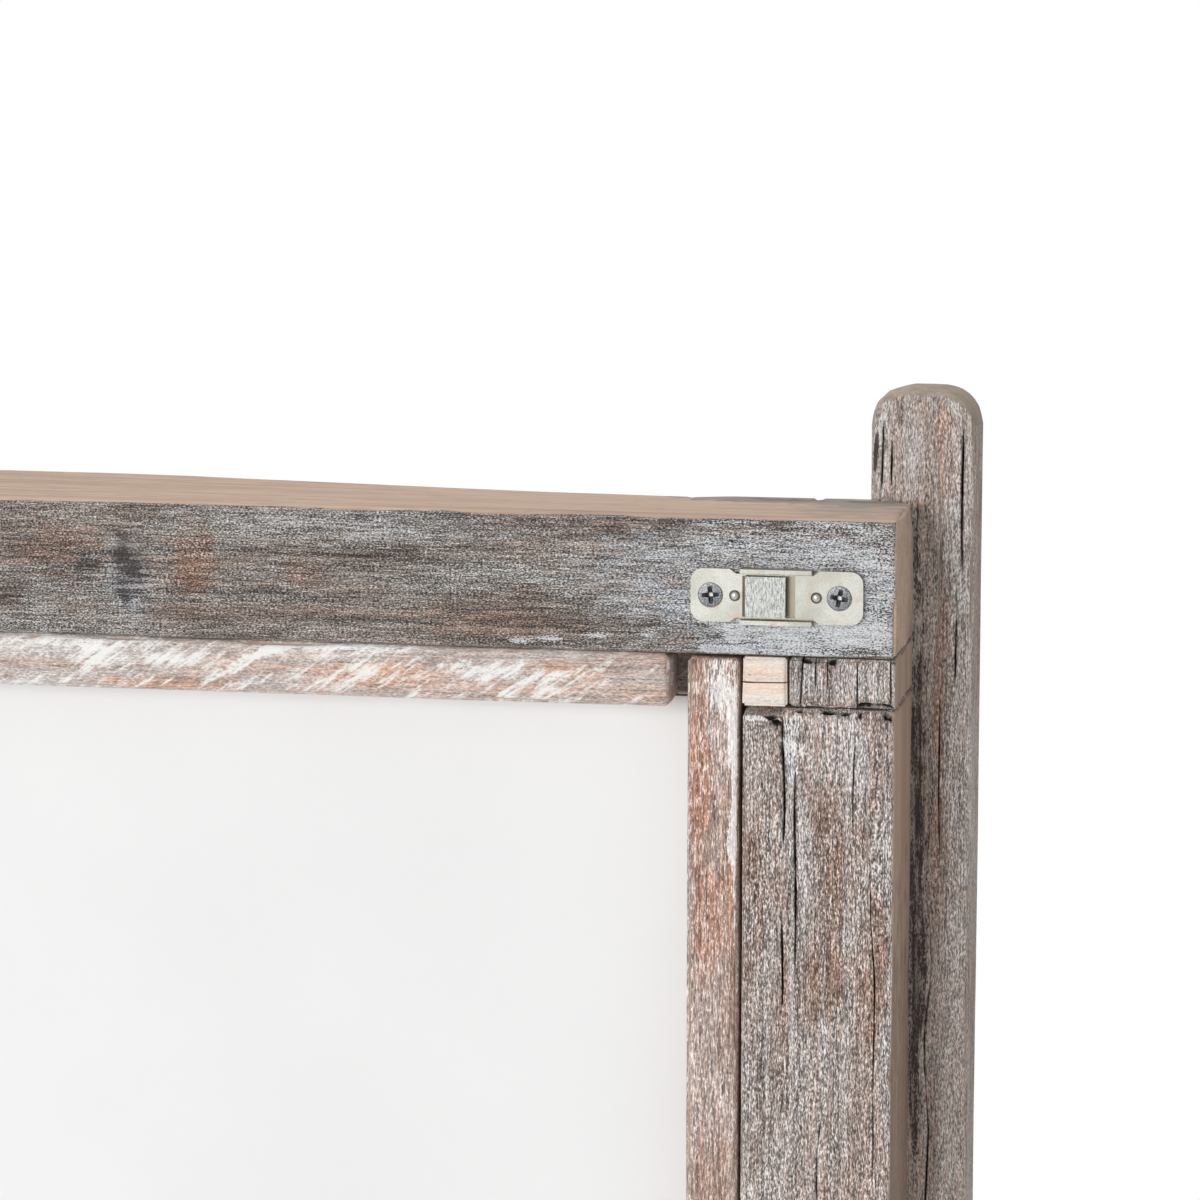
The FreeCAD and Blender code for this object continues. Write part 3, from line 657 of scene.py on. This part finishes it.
def plated(g, where, cloud, grain):
    """Pale nickel, with grey speckles and tan tarnish."""
    colour = g.mix(g.ramp(cloud, 0.35, 0.65), shade(172, 171, 162), shade(190, 189, 182))
    colour = g.mix(g.ramp(grain, 0.48, 0.7, 0.0, 0.5), colour, shade(126, 122, 114))
    tarnish = g.ramp(g.noise(where, (220, 220, 220), 4, 0.65), 0.52, 0.66, 0.0, 0.55)
    return g.mix(tarnish, colour, shade(176, 160, 138))


def scuffed_tongue(g, where, grain):
    """The tongue's face, rubbed up and down."""
    brushed = g.noise(where, (2400, 2400, 500), 2, 0.7)
    scuffs = g.ramp(g.total((brushed, 0.6), (grain, 0.4)), 0.38, 0.6)
    return g.mix(scuffs, shade(122, 125, 122), shade(190, 192, 187))


def spring_plate(name, node):
    """Plated spring steel, told apart by height: clean wings, a scuffed tongue, and a dull khaki floor that
    is painted shade; each dimple has a painted highlight and a ring of painted shade.
    """
    g = Graph(name, roughness=0.36, metallic=0.85, specular=0.5)
    where = object_places(g)
    low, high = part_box(node)
    apart = g.node("ShaderNodeSeparateXYZ")
    g.feed(apart.inputs[0], where)
    height = g.math("SUBTRACT", high.y, apart.outputs["Y"])
    cloud = g.noise(where, (90, 90, 90), 4, 0.6)
    grain = g.noise(where, (2600, 2600, 2600), 2, 0.7)
    colour = plated(g, where, cloud, grain)
    colour = g.mix(between(g, height, 2.9, 3.1, 3.4, 3.5), colour, scuffed_tongue(g, where, grain))
    colour = g.mix(between(g, height, 1.6, 1.8, 2.7, 3.0, most=0.7), colour, shade(130, 108, 80))
    # the floor in the window painted dull khaki: painted shade
    colour = g.mix(g.ramp(height, 1.0 * MM, 0.8 * MM), colour, shade(150, 143, 122))
    # each dimple: a painted highlight on its dome and a ring of painted shade round it
    for place in DIMPLE_PLACES:
        away = from_dimple(g, apart, low, high, place)
        colour = g.mix(g.ramp(away, 1.3 * MM, 1.1 * MM), colour, shade(196, 196, 190))
        colour = g.mix(between(g, away, 0.8, 1.35, 1.45, 1.75, most=0.8), colour, shade(88, 86, 78))
    rough = g.ramp(g.total((grain, 0.5), (cloud, 0.5)), 0.3, 0.7, 0.28, 0.48)
    return g.finish(colour, grain, bump=0.25, reach=0.08 * MM, roughness=rough)


def from_dimple(g, apart, low, high, place):
    """Distance from the middle of a dimple, which stands `place` along the plate from one end."""
    aside = g.math("SUBTRACT", apart.outputs["X"], low.x + place)
    above = g.math("SUBTRACT", apart.outputs["Z"], (low.z + high.z) / 2)
    return g.math("SQRT", g.total((aside, aside), (above, above)))


def drive_metal():
    """Dull zinc, with painted shade down in the cross recess and a painted reflection at its very bottom."""
    g = Graph("zinc_drive", roughness=0.4, metallic=0.8, specular=0.5)
    where = object_places(g)
    grain = g.noise(where, (2600, 2600, 2600), 2, 0.7)
    colour = g.mix(g.ramp(grain, 0.35, 0.65), shade(84, 86, 88), shade(152, 154, 156))
    # painted shade down the cross recess
    colour = g.mix(g.ramp(g.attribute("crack"), 0.1, 0.6, 0.0, 0.95), colour, shade(46, 45, 45))
    # painted reflection at the bottom of the recess
    colour = g.mix(g.ramp(g.attribute("crack"), 0.8, 0.9), colour, shade(226, 226, 220))
    return g.finish(colour, grain, bump=0.2, reach=0.06 * MM)


def sawn_end():
    """Pale dowel wood, with rings."""
    g = Graph("dowel_wood", roughness=0.8, specular=0.25)
    where = object_places(g)
    rings = g.noise(where, (900, 900, 300), 3, 0.6)
    fibre = g.noise(where, (1800, 1800, 400), 3, 0.6)
    colour = g.mix(g.ramp(rings, 0.35, 0.65), shade(206, 178, 148), shade(226, 204, 176))
    colour = g.mix(g.ramp(fibre, 0.55, 0.75, 0.0, 0.5), colour, shade(170, 138, 108))
    return g.finish(colour, fibre, bump=0.3, reach=0.1 * MM)


def black_plastic():
    g = Graph("glide_plastic", roughness=0.5, specular=0.4)
    where = object_places(g)
    scuff = g.noise(where, (160, 160, 500), 4, 0.65)
    colour = g.mix(g.ramp(scuff, 0.45, 0.75), shade(38, 36, 35), shade(74, 70, 66))
    return g.finish(colour, scuff, bump=0.3, reach=0.1 * MM)


DOWEL_WOOD = sawn_end()
DRIVE_ZINC = drive_metal()
ZINC = metal("zinc_screw", shade(150, 150, 150), shade(190, 190, 190), 0.36, 0.5)
HINGE_STEEL = metal("hinge_steel", shade(140, 136, 130), shade(184, 181, 175), 0.42, 0.5)
BOARD = painted_board()
PLASTIC = black_plastic()


# --- cracks and marks on each bar ---------------------------------------------------------------
def chance_cracks(box, grain, seed, count):
    """A few cracks along the grain, on the bar's two wide faces and its sides."""
    chance = np.random.default_rng(seed)
    low, high = box
    made = []
    for number in range(count):
        face = (V, V, 3 - grain - V)[number % 3]
        cross = across(face, grain)
        edge = 0.22 * (high[cross] - low[cross])
        at = chance.uniform(low[cross] + edge, high[cross] - edge)
        if any(abs(at - c.at) < 4 * MM and across(c.face, grain) == cross for c in made):
            continue
        start = chance.uniform(low[grain] + 6 * MM, high[grain] - 90 * MM)
        end = min(start + chance.uniform(60, 320) * MM, high[grain] - 5 * MM)
        side = chance.choice((-1, 1))
        width, depth = chance.uniform(0.5, 1.0) * MM, chance.uniform(2, 4.5) * MM
        made.append(Crack(face, side, at, start, end, width, depth, 1.2 * MM))
    return made


def from_end(distance):
    """A place along the shown leaf, in millimetres back from its free end."""
    return CORNER_U - distance * MM


def below_top(distance):
    """A height, in millimetres below the top of the shown leaf's frame."""
    return CORNER_Z - distance * MM


def front_cracks(corner, *rows):
    """Cracks down the catch side of an upright piece, placed from its leaf's or its own top right corner.

    Each row is the place back from the corner, the crack's top and bottom ends below it, its width,
    its depth and how far it wanders, in millimetres.
    """
    right, top = corner
    return [
        Crack(V, -1, right - back * MM, top - end * MM, top - start * MM, width * MM, depth * MM, wander * MM)
        for back, start, end, width, depth, wander in rows
    ]


def marks(*rows):
    """Rows of layer, amount, place back from the corner, place down from it, half sizes and tilt."""
    return [Mark(*row) for row in rows]


RAIL_MARKS = marks(
    ("soil", 0.42, 219, 19, 7, 12, 8), ("soil", 0.3, 221, 13, 2.5, 6), ("soil", 0.3, 218, 21, 3, 3),
    ("soil", 0.4, 220, 28, 3, 3), ("cool", 0.6, 220, 23, 5, 11), ("white", 0.22, 219, 24, 1.5, 4),
    ("white", 0.22, 221, 29, 3, 1.5), ("white", 0.2, 222, 14, 1.2, 3), ("soil", 0.2, 226, 20, 20, 13),
    ("soil", 0.45, 232, 18, 4, 5), ("cool", 0.6, 232, 18, 4, 4), ("white", 0.2, 231, 18, 1.5, 2.5),
    ("warm", 0.6, 200, 17, 7, 12), ("warm", 0.4, 240, 14, 12, 9), ("warm", 0.45, 168, 20, 6, 5),
    ("soil", 0.25, 155, 20, 30, 17), ("warm", 0.4, 112, 29, 18, 7), ("cool", 0.35, 150, 6, 50, 6),
    ("white", 0.26, 25, 18, 40, 26), ("cool", 0.7, 30, 22, 48, 22), ("white", 0.2, 22, 33, 24, 6),
    ("bare", 0.45, 1.2, 18, 2.2, 20), ("white", 0.95, 47, 37.6, 10, 1.2),
    ("white", 0.75, 98, 35.8, 16, 0.5, 5), ("warm", 0.3, 4, 16, 3, 18), ("cool", 0.3, 75, 16, 25, 14),
    ("white", 0.2, 30, 31, 36, 8), ("cool", 0.35, 30, 30, 42, 11), ("white", 0.12, 12, 12, 14, 14),
    ("cool", 0.35, 219, 20, 7, 12), ("soil", 0.12, 219, 20, 7, 12), ("white", 0.55, 45, 32.8, 3.4, 2.0),
    # the two crack rows paint the shade of two thin cracks that are not cut into the rail
    ("crack", 0.8, 46, 6.6, 2.6, 0.6, 24), ("crack", 0.7, 50, 8.6, 2.2, 0.5), ("soil", 0.5, 40, 5, 2, 1.4),
)
RAIL_TOP_MARKS = marks(
    ("cool", 0.7, 44, 30, 14, 5), ("cool", 0.9, 14, 30, 14, 7, 6), ("soil", 0.45, 40, 34, 16, 3),
    ("soil", 0.5, 10, 33, 9, 5), ("soil", 0.4, 24, 24, 8, 1.5, 14), ("cool", 0.3, 130, 20, 60, 5),
    ("cool", 0.55, 16, 18, 20, 16), ("soil", 0.3, 6, 12, 8, 14), ("cool", 1.0, 34, 36, 31, 7),
    ("cool", 1.0, 52, 36, 14, 7), ("soil", 0.35, 36, 36, 30, 6), ("soil", 0.5, 50, 30.5, 14, 1.6, -2),
    ("soil", 0.4, 20, 33, 14, 2), ("warm", 0.6, 40, 3, 50, 4),
)
# darker lower down the stile's outer side face: painted shade
STILE_SIDE_MARKS = marks(("soil", 0.65, 0, 190, 30, 105))
STILE_MARKS = marks(
    ("cool", 0.9, 29.5, 66, 2.2, 14), ("cool", 0.6, 25.5, 92, 2, 18), ("white", 0.4, 29, 62, 3, 9),
    ("warm", 0.8, 3.6, 122, 1.8, 22), ("warm", 0.5, 16, 132, 9, 12), ("warm", 0.4, 37, 105, 5, 26),
    ("white", 0.95, 39, 54.3, 5.5, 0.8), ("cool", 0.4, 14, 66, 8, 12), ("warm", 0.35, 14, 100, 6, 18),
)
UPRIGHT_MARKS = marks(
    ("white", 1.0, 45.2, 60, 1.5, 13), ("white", 1.0, 45.4, 92, 1.6, 8), ("white", 0.6, 44.8, 80, 0.8, 45),
    ("white", 0.5, 49, 46, 4, 9), ("warm", 0.6, 55, 76, 4, 22), ("warm", 0.6, 52, 112, 5, 20),
    ("bare", 0.9, 52, 39.5, 9, 0.6),
)
LEVEL_MARKS = marks(
    ("scrape", 1.4, 184, 44.5, 13, 1.5, 30), ("white", 0.9, 229, 41.5, 6, 2),
    ("scrape", 0.5, 222, 46, 20, 4), ("white", 0.7, 165, 40.3, 30, 0.6), ("warm", 0.7, 150, 47, 18, 4),
    ("warm", 0.6, 95, 46, 14, 3.5), ("soil", 0.3, 120, 54.8, 40, 1.1), ("scrape", 0.5, 103, 46, 22, 4),
    ("warm", 0.5, 210, 52, 20, 2.5),
)
BLOCK_MARKS = marks(
    ("cool", 0.5, 24, 46, 5, 7), ("cool", 0.45, 10, 45, 12, 7), ("warm", 0.9, 19.2, 43, 1.2, 4),
    ("soil", 0.5, 15, 52.6, 15, 0.7),
)
POST_MARKS = marks(
    # The first two rows darken the post in a band beside the frame's edge: a painted shadow of the frame.
    ("soil", 0.75, -1.0, 110, 3.0, 125), ("soil", 0.3, -5, 140, 3, 110), ("warm", 0.5, -8, 60, 2, 40),
    ("white", 1.0, 10.2, -21, 1.6, 6), ("white", 0.8, 13.4, -9, 0.8, 8), ("white", 0.8, 9.2, -8, 0.7, 9),
    ("soil", 1.3, 11.6, -15, 0.9, 7), ("soil", 1.2, 14.6, -15, 0.7, 2), ("soil", 0.8, 4.5, -24, 0.6, 5),
    ("cool", 0.5, 0, -14, 3, 12), ("warm", 0.4, -3, -16, 2, 14), ("warm", 0.6, -9.5, -22, 3, 4),
    ("warm", 0.8, 2, 1, 4, 1.6, 10), ("bare", 0.6, 8, -1, 3, 1.4, 12), ("white", 0.8, 5.5, -1.5, 1.6, 1.2),
    ("warm", 0.4, -9, -12, 4, 20), ("white", 0.22, -12, 60, 4, 150), ("cool", 0.25, -12, 60, 4, 150),
)


MARKS = {
    "top_rail": RAIL_MARKS, "stile_right": STILE_MARKS, "post_right": POST_MARKS,
    "rear_bead_top": LEVEL_MARKS, "rear_bead_right": UPRIGHT_MARKS,
}
SHOWN_CRACKS = {
    "top_rail": (), "rear_bead_top": (), "rear_bead_right": (),
    "stile_right": front_cracks(
        (CORNER_U, CORNER_Z), (31.6, 54, 93, 1.0, 8, 0.4), (31.6, 112, 140, 0.5, 5, 0.4),
        (27.6, 70, 129, 0.8, 7, 0.6), (11.3, 60, 94, 0.35, 1.2, 0.4), (5.6, 99, 190, 0.45, 2.5, 1.4),
        (20.0, 150, 400, 0.7, 4, 1.2)),
    "post_right": front_cracks(     # a long one near the right edge that steps to the left further down
        POST_CORNER, (3.6, 8, 58, 0.9, 8, 0.3), (5.4, 55, 85, 0.5, 4, 0.3), (9.2, 85, 133, 0.5, 4, 0.3),
        (26.6, 7, 28, 0.8, 2.5, 0.5), (24.0, 9, 27, 0.6, 2, 0.4), (12.0, 150, 420, 0.7, 4, 1.0)),
}


# --- the bars -----------------------------------------------------------------------------------
Part = namedtuple("Part", "name grain seed timber slot radius cracks")
PARTS = (       # seeds count on from the leaf's, radii are in millimetres, cracks are the most by chance
    Part("post_left", Z, 0, POST_TIMBER, "post_timber", 1.5, 7),
    Part("post_right", Z, 1, POST_TIMBER, "post_timber", 1.5, 7),
    Part("top_rail", U, 10, RAIL_TIMBER, "frame_timber", 1.2, 4),
    Part("bottom_rail", U, 11, RAIL_TIMBER, "frame_timber", 1.2, 4),
    Part("stile_left", Z, 20, STILE_TIMBER, "frame_timber", 1.2, 6),
    Part("stile_right", Z, 21, STILE_TIMBER, "frame_timber", 1.2, 6),
    Part("rear_bead_top", U, 30, BRUSHED_TIMBER, "bead_timber", 1.6, 0),
    Part("rear_bead_bottom", U, 31, BRUSHED_TIMBER, "bead_timber", 1.6, 0),
    Part("rear_bead_left", Z, 32, BEAD_TIMBER, "bead_timber", 1.6, 0),
    Part("rear_bead_right", Z, 33, BEAD_TIMBER, "bead_timber", 1.6, 0),
)


def leaf_bars(leaf, first_seed):
    """Every bar of a leaf but its front beads."""
    for part in PARTS:
        shown = leaf is SHOWN and part.name in SHOWN_CRACKS
        box = leaf.box(part.name)
        seed = first_seed + part.seed
        cracks = SHOWN_CRACKS[part.name] if shown else chance_cracks(box, part.grain, seed + 5, part.cracks)
        fine = fine_stretch(part, box, shown)
        bar = Bar(leaf, box, part.grain, seed, part.radius * MM, cracks, fine, shown)
        sand(bar, part.name, shown)
        if shown:
            finish_shown(bar, part.name)
        bar.piece(f"leaf_{leaf.name}_{part.name}", part.timber)


def fine_stretch(part, box, shown):
    """The stretch of a bar with a close lattice: near the shown corner, and every post's head."""
    top = box[1][Z]
    if "post" in part.name:
        return (top - 200 * MM, top, FINE_RUN) if shown else (top - 30 * MM, top, 2 * MM)
    if not shown:
        return None
    return (from_end(262), from_end(0), FINE_RUN) if part.grain == U else (below_top(240), top, FINE_RUN)


def sand(bar, name, shown):
    """Bare wood on a rail's top and ends, a stile's outer side and a post's head."""
    if "rail" in name:
        bar.paint["bare"] += 2.2 * bar.facing(Z, 1) + bar.facing(U, 1) + bar.facing(U, -1)
    elif "stile" in name:
        bar.paint["bare"] += 1.1 * bar.facing(U, 1 if "right" in name else -1)
    elif "post" in name:
        post_head(bar, (6.0 * MM, 11 * MM) if shown else (10.5 * MM, 10.5 * MM))


def finish_shown(bar, name):
    """Marks and shapes that only the bars at the shown corner have."""
    bar.mark(MARKS[name])
    if name == "top_rail":
        bar.mark(RAIL_TOP_MARKS, Z, 1)
        shape_shown_rail(bar)
    elif name == "stile_right":
        bar.mark(STILE_SIDE_MARKS, U, 1)
        chip_stile_top(bar)
    elif name == "post_right":
        bar.points[:, Z] += 0.6 * MM * smooth(bar.home[:, Z], bar.high[Z] - 30 * MM, bar.high[Z])
        # the post's right side paler: bare wood, and a painted highlight along that edge
        bar.paint["bare"] += 0.35 * bar.facing(U, 1)


def shape_shown_rail(bar):
    """The shown rail's top is a little twisted, and nicked at its back edge."""
    back = (bar.home[:, V] - bar.low[V]) / (bar.high[V] - bar.low[V])
    high = (bar.home[:, Z] - bar.low[Z]) / (bar.high[Z] - bar.low[Z])
    rise = 2.8 * MM * smooth(bar.home[:, U], from_end(50), from_end(270))
    bar.points[:, Z] += rise * back * high
    for distance, size in ((27, 1.9), (9, 1.0), (63, 0.6)):
        place = (from_end(distance), bar.high[V], bar.high[Z])
        bar.dent(place, np.array((1.3, 5.0, 3.0)) * MM, (0, -0.6 * size * MM, -0.6 * size * MM))
    corner = (bar.high[U], bar.high[V], bar.high[Z])
    bar.dent(corner, 9 * MM, (-2.4 * MM, -1.0 * MM, -0.7 * MM))
    level = smooth(bar.home[:, U], from_end(64), from_end(50))
    bar.points[:, Z] += 0.5 * MM * level * back * high


def chips(bar, end, seed, count, size):
    """Small chips out of the front edge of an upright bar's cut end, with painted shade inside them; size is
    the deepest, upwards, in mm.
    """
    chance = np.random.default_rng(seed)
    for place in chance.uniform(bar.low[U], bar.high[U], count):
        radius = chance.uniform(1.2, 3.0, 3) * MM
        share = chance.uniform(0.2, 1)
        push = share * size * MM
        where = np.array((place, bar.low[V], end))
        bar.dent(where, radius, (0, 0.4 * abs(push), push))
        # painted shade inside the chip
        bar.paint_hollow_shade(where, radius, 0.9 * smooth(share, 0.35, 0.8))


def chip_stile_top(bar):
    """The shown stile's broken top: the part inside its main crack has lost a little more."""
    front = smooth(bar.home[:, V], bar.low[V] + 9 * MM, bar.low[V])
    top = smooth(bar.home[:, Z], bar.high[Z] - 8 * MM, bar.high[Z])
    inner = smooth(bar.home[:, U], from_end(31), from_end(32))
    bar.points[:, Z] -= 1.8 * MM * inner * front * top
    chips(bar, bar.high[Z], 61, 14, -1.9)
    corner = (bar.high[U], bar.low[V], bar.high[Z])
    bar.dent(corner, np.array((5.0, 5.0, 4.0)) * MM, (-1.4 * MM, 1.0 * MM, -1.4 * MM))
    hole = np.array((from_end(33.4), bar.low[V], below_top(56.5)))
    size = np.array((1.7, 4.0, 2.2)) * MM
    bar.dent(hole, size, (0, 3.5 * MM, 0))
    # painted shade inside the hole
    bar.paint_hollow_shade(hole, size, 1.0)


def post_head(bar, widths):
    """The round head, sanded to a tan-grey band round its rim."""
    bar.crown(11.5 * MM, 30 * MM, widths)
    rim = smooth(bar.points[:, Z], bar.high[Z] - 16 * MM, bar.high[Z] - 6 * MM)
    bar.paint["bare"] += 0.75 * bar.edge * rim + 0.85 * bar.facing(Z, 1)


def front_beads(leaf, first_seed):
    """The four bars on the posts' side, in line with the rear ones, but tight at both ends."""
    low, high = leaf.box("front_beads")
    for part in PARTS[-4:]:
        box = [corner.copy() for corner in leaf.box(part.name)]
        box[0][V], box[1][V] = low[V], high[V]
        if part.grain == U:
            upright = leaf.box("rear_bead_right")[0][U]
            box[1][U] = upright - (box[0][U] - leaf.box("rear_bead_left")[1][U])
        bar = Bar(leaf, box, part.grain, first_seed + part.seed + 10, part.radius * MM)
        name = part.name.replace("rear", "front")
        bar.piece(f"leaf_{leaf.name}_{name}", part.timber, f"leaf_{leaf.name}_front_beads")


def packing_blocks():
    """The fresh-cut block, split in two across its height, and the cracked grey one."""
    box = SHOWN.box("fresh_packing_block")
    middle = (box[0][Z] + box[1][Z]) / 2
    split = Crack(V, -1, middle, box[0][U] - 5 * MM, box[1][U] + 5 * MM, 0.35 * MM, 1.5 * MM, 0.3 * MM)
    fine = (box[0][U], box[1][U], 0.8 * MM)
    bar = Bar(SHOWN, box, U, 71, 0.7 * MM, (split,), fine, True)
    bar.piece("fresh_packing_block", FRESH_TIMBER)
    cracks = front_cracks(
        (CORNER_U, CORNER_Z), (25.8, 36, 56, 0.6, 5, 0.9), (22.0, 36, 48, 0.35, 2, 0.4),
        (19.0, 36, 48, 0.35, 2, 0.3), (10.4, 37, 55, 0.45, 3, 0.4), (1.6, 37, 55, 0.4, 2, 0.3))
    box = SHOWN.box("grey_packing_block")
    fine = (box[0][Z], box[1][Z], 0.8 * MM)
    bar = Bar(SHOWN, box, Z, 77, 0.9 * MM, cracks, fine, True)
    bar.paint["bare"] += 1.1 * bar.facing(U, 1)
    chips(bar, bar.low[Z], 62, 12, 1.6)
    chips(bar, bar.high[Z], 63, 9, -1.0)
    bar.mark(BLOCK_MARKS)
    bar.piece("grey_packing_block", STILE_TIMBER)


# --- parts that keep their CAD shape ------------------------------------------------------------
FINISHES = (
    ("panel", BOARD, 0.4), ("corner_dowels", DOWEL_WOOD, 0.0), ("frame_screws", ZINC, 0.0),
    ("foot_glides", PLASTIC, 0.8), ("hinge_leaves", HINGE_STEEL, 0.25), ("hinge_pins", HINGE_STEEL, 0.3),
    ("hinge_screws", ZINC, 0.0),
)


def ease_edges(thing, width):
    """Rounds the sharp edges of a CAD node, without touching its own mesh."""
    easing = thing.modifiers.new("eased edges", "BEVEL")
    easing.width = width
    easing.segments = 2
    easing.limit_method = "ANGLE"
    easing.angle_limit = math.radians(40)
    easing.harden_normals = False


def finish(node, material, width):
    """Gives a CAD node its material and eased edges, width in millimetres."""
    thing = frame["nodes"][node]
    thing.data.materials.clear()
    thing.data.materials.append(material)
    if width:
        ease_edges(thing, width * MM)


def finish_cad_nodes():
    """Materials and eased edges for the nodes that keep their CAD shape."""
    for node in frame["nodes"]:
        for word, material, width in FINISHES:
            if word in node:
                finish(node, material, width)
    for name in ("a", "c"):
        node = f"catch_plate_{name}"
        finish(node, spring_plate(f"nickel_plate_{name}", node), 0.22)


# --- the catch plates' screws -------------------------------------------------------------------
FACE_RINGS, RING_POINTS = 27, 96
DOME, RECESS_DEPTH, HEAD_RADIUS = 0.14, 1.25, 3.5       # in millimetres, as is the side's profile
SCREW_SIDE = ((3.42, 0.05), (3.5, 0.14), (3.5, 0.2), (3.4, 0.3), (1.75, 1.45), (1.75, 11.5), (0.6, 14.8),
              (0.05, 15.0))
SCREW_TURNS = (4, -12)              # degrees, for the screws at a plate's two ends


def cross_recess(x, z):
    """Depth of the cross recess, from 0 to 1, at places on the head in millimetres."""
    depth = np.zeros(len(x))
    for along, over in ((np.abs(x), np.abs(z)), (np.abs(z), np.abs(x))):
        half = 0.62 - 0.08 * along
        wing = smooth(over, half + 0.12, half - 0.14) * smooth(along, 2.5, 2.15)
        depth = np.maximum(depth, wing * (1 - 0.28 * along))
    return depth


def screw_profile():
    """Radius and depth of each ring, from the middle of the domed face to the tip, in millimetres."""
    face = np.linspace(0.05, 3.3, FACE_RINGS)
    dome = np.stack((face, -DOME * (1 - (face / 3.4) ** 2)), axis=1)
    return np.concatenate((dome, SCREW_SIDE)).T


def ring_faces(rings, around):
    """Outward quads between the rings of vertices, and a cap at each end."""
    rows, columns = np.meshgrid(np.arange(rings - 1), np.arange(around), indexing="ij")
    here = (rows * around + columns).ravel()
    beside = (rows * around + (columns + 1) % around).ravel()
    quads = np.stack((here, here + around, beside + around, beside), axis=1).tolist()
    last = (rings - 1) * around
    return quads + [list(range(around)), list(range(last, last + around))[::-1]]


def catch_screw(leaf, number, centre, turn):
    """One countersunk screw, turned from its profile, with a cross recess in its face."""
    radii, depths = screw_profile()
    angles = np.linspace(0, math.tau, RING_POINTS, endpoint=False)
    x = np.outer(radii, np.cos(angles)).ravel()
    z = np.outer(radii, np.sin(angles)).ravel()
    on_face = np.arange(len(x)) < FACE_RINGS * RING_POINTS
    recess = np.where(on_face, cross_recess(*turned(x, z, turn)), 0)
    y = np.repeat(depths, RING_POINTS) + RECESS_DEPTH * recess
    points = np.stack((x, y, z), axis=1) * MM + centre
    faces = ring_faces(len(radii), RING_POINTS)
    mesh = smooth_mesh(f"catch_screw_{leaf.name}_{number}", points, faces, DRIVE_ZINC)
    # the recess depth, which the zinc paints as shade, with a painted reflection at the bottom
    mesh.attributes.new("crack", "FLOAT", "POINT").data.foreach_set("value", recess.astype(np.float32))
    place_piece(mesh, leaf, f"catch_screws_{leaf.name}")


def turned(x, z, degrees):
    """The places x, z, turned about the screw's axis."""
    cosine, sine = math.cos(math.radians(degrees)), math.sin(math.radians(degrees))
    return x * cosine + z * sine, z * cosine - x * sine


def catch_screws():
    """The screws stand at the ends of their CAD node's box, and in the plane of its front."""
    for name in ("a", "c"):
        low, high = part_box(f"catch_screws_{name}")
        middle = (low.z + high.z) / 2
        for number, x in enumerate((low.x + HEAD_RADIUS * MM, high.x - HEAD_RADIUS * MM)):
            catch_screw(LEAVES[name], number, np.array((x, low.y, middle)), SCREW_TURNS[number])


# --- stage ----------------------------------------------------------------------------------------
def floor():
    """A round pale floor."""
    turns = [math.tau * i / 96 for i in range(96)]
    mesh = bpy.data.meshes.new("floor")
    rim = [(FLOOR_RADIUS * math.cos(t), FLOOR_RADIUS * math.sin(t), 0.0) for t in turns]
    mesh.from_pydata(rim, [], [list(range(96))])
    g = Graph("floor_paint", roughness=0.9, specular=0.1)
    clouds = g.noise(object_places(g), (2, 2, 2), 3, 0.5)
    mesh.materials.append(g.finish(g.mix(clouds, shade(240, 240, 239), shade(246, 246, 245))))
    thing = bpy.data.objects.new("floor", mesh)
    bpy.context.scene.collection.objects.link(thing)


def world():
    """White all round, seen as pure white and a little weaker as light."""
    made = bpy.data.worlds.new("studio")
    bpy.context.scene.world = made
    made.use_nodes = True
    tree = made.node_tree
    back = tree.nodes["Background"]
    back.inputs["Color"].default_value = (1, 1, 1, 1)
    path = tree.nodes.new("ShaderNodeLightPath")
    level = tree.nodes.new("ShaderNodeMapRange")
    level.inputs["To Min"].default_value = WORLD_LIGHT
    level.inputs["To Max"].default_value = 1.0
    tree.links.new(path.outputs["Is Camera Ray"], level.inputs["Value"])
    tree.links.new(level.outputs["Result"], back.inputs["Strength"])


def lamp(name, place, target, size, power):
    data = bpy.data.lights.new(name, "AREA")
    data.shape = "DISK"
    data.size = size
    data.energy = power
    thing = bpy.data.objects.new(name, data)
    thing.location = place
    thing.rotation_mode = "QUATERNION"
    thing.rotation_quaternion = (target - place).to_track_quat("-Z", "Y")
    bpy.context.scene.collection.objects.link(thing)


def camera():
    """The camera looks down a little at the shown corner, from in front and to its right."""
    low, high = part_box("leaf_c_top_rail")
    target = Vector((high.x - TARGET_FROM_END, low.y, high.z - TARGET_FROM_TOP))
    level = math.cos(CAMERA_PITCH)
    back = Vector((math.sin(CAMERA_YAW) * level, -math.cos(CAMERA_YAW) * level, math.sin(CAMERA_PITCH)))
    data = bpy.data.cameras.new("camera")
    data.lens = CAMERA_LENS
    data.sensor_width = SENSOR
    thing = bpy.data.objects.new("camera", data)
    thing.location = target + back * CAMERA_DISTANCE
    thing.rotation_mode = "QUATERNION"
    thing.rotation_quaternion = (-back).to_track_quat("-Z", "Y")
    bpy.context.scene.collection.objects.link(thing)
    bpy.context.scene.camera = thing
    return target


def build():
    """Everything in the scene, leaf by leaf; each leaf has its own hundred of seeds."""
    target = camera()
    floor()
    world()
    for name, place, size, power in LAMPS:
        lamp(name, target + Vector(place), target, size, power)
    for number, leaf in enumerate(LEAVES.values()):
        seed = 100 * (number + 1)
        leaf_bars(leaf, seed)
        front_beads(leaf, seed)
    packing_blocks()
    catch_screws()
    finish_cad_nodes()
    bpy.context.scene.view_settings.view_transform = "Standard"


build()
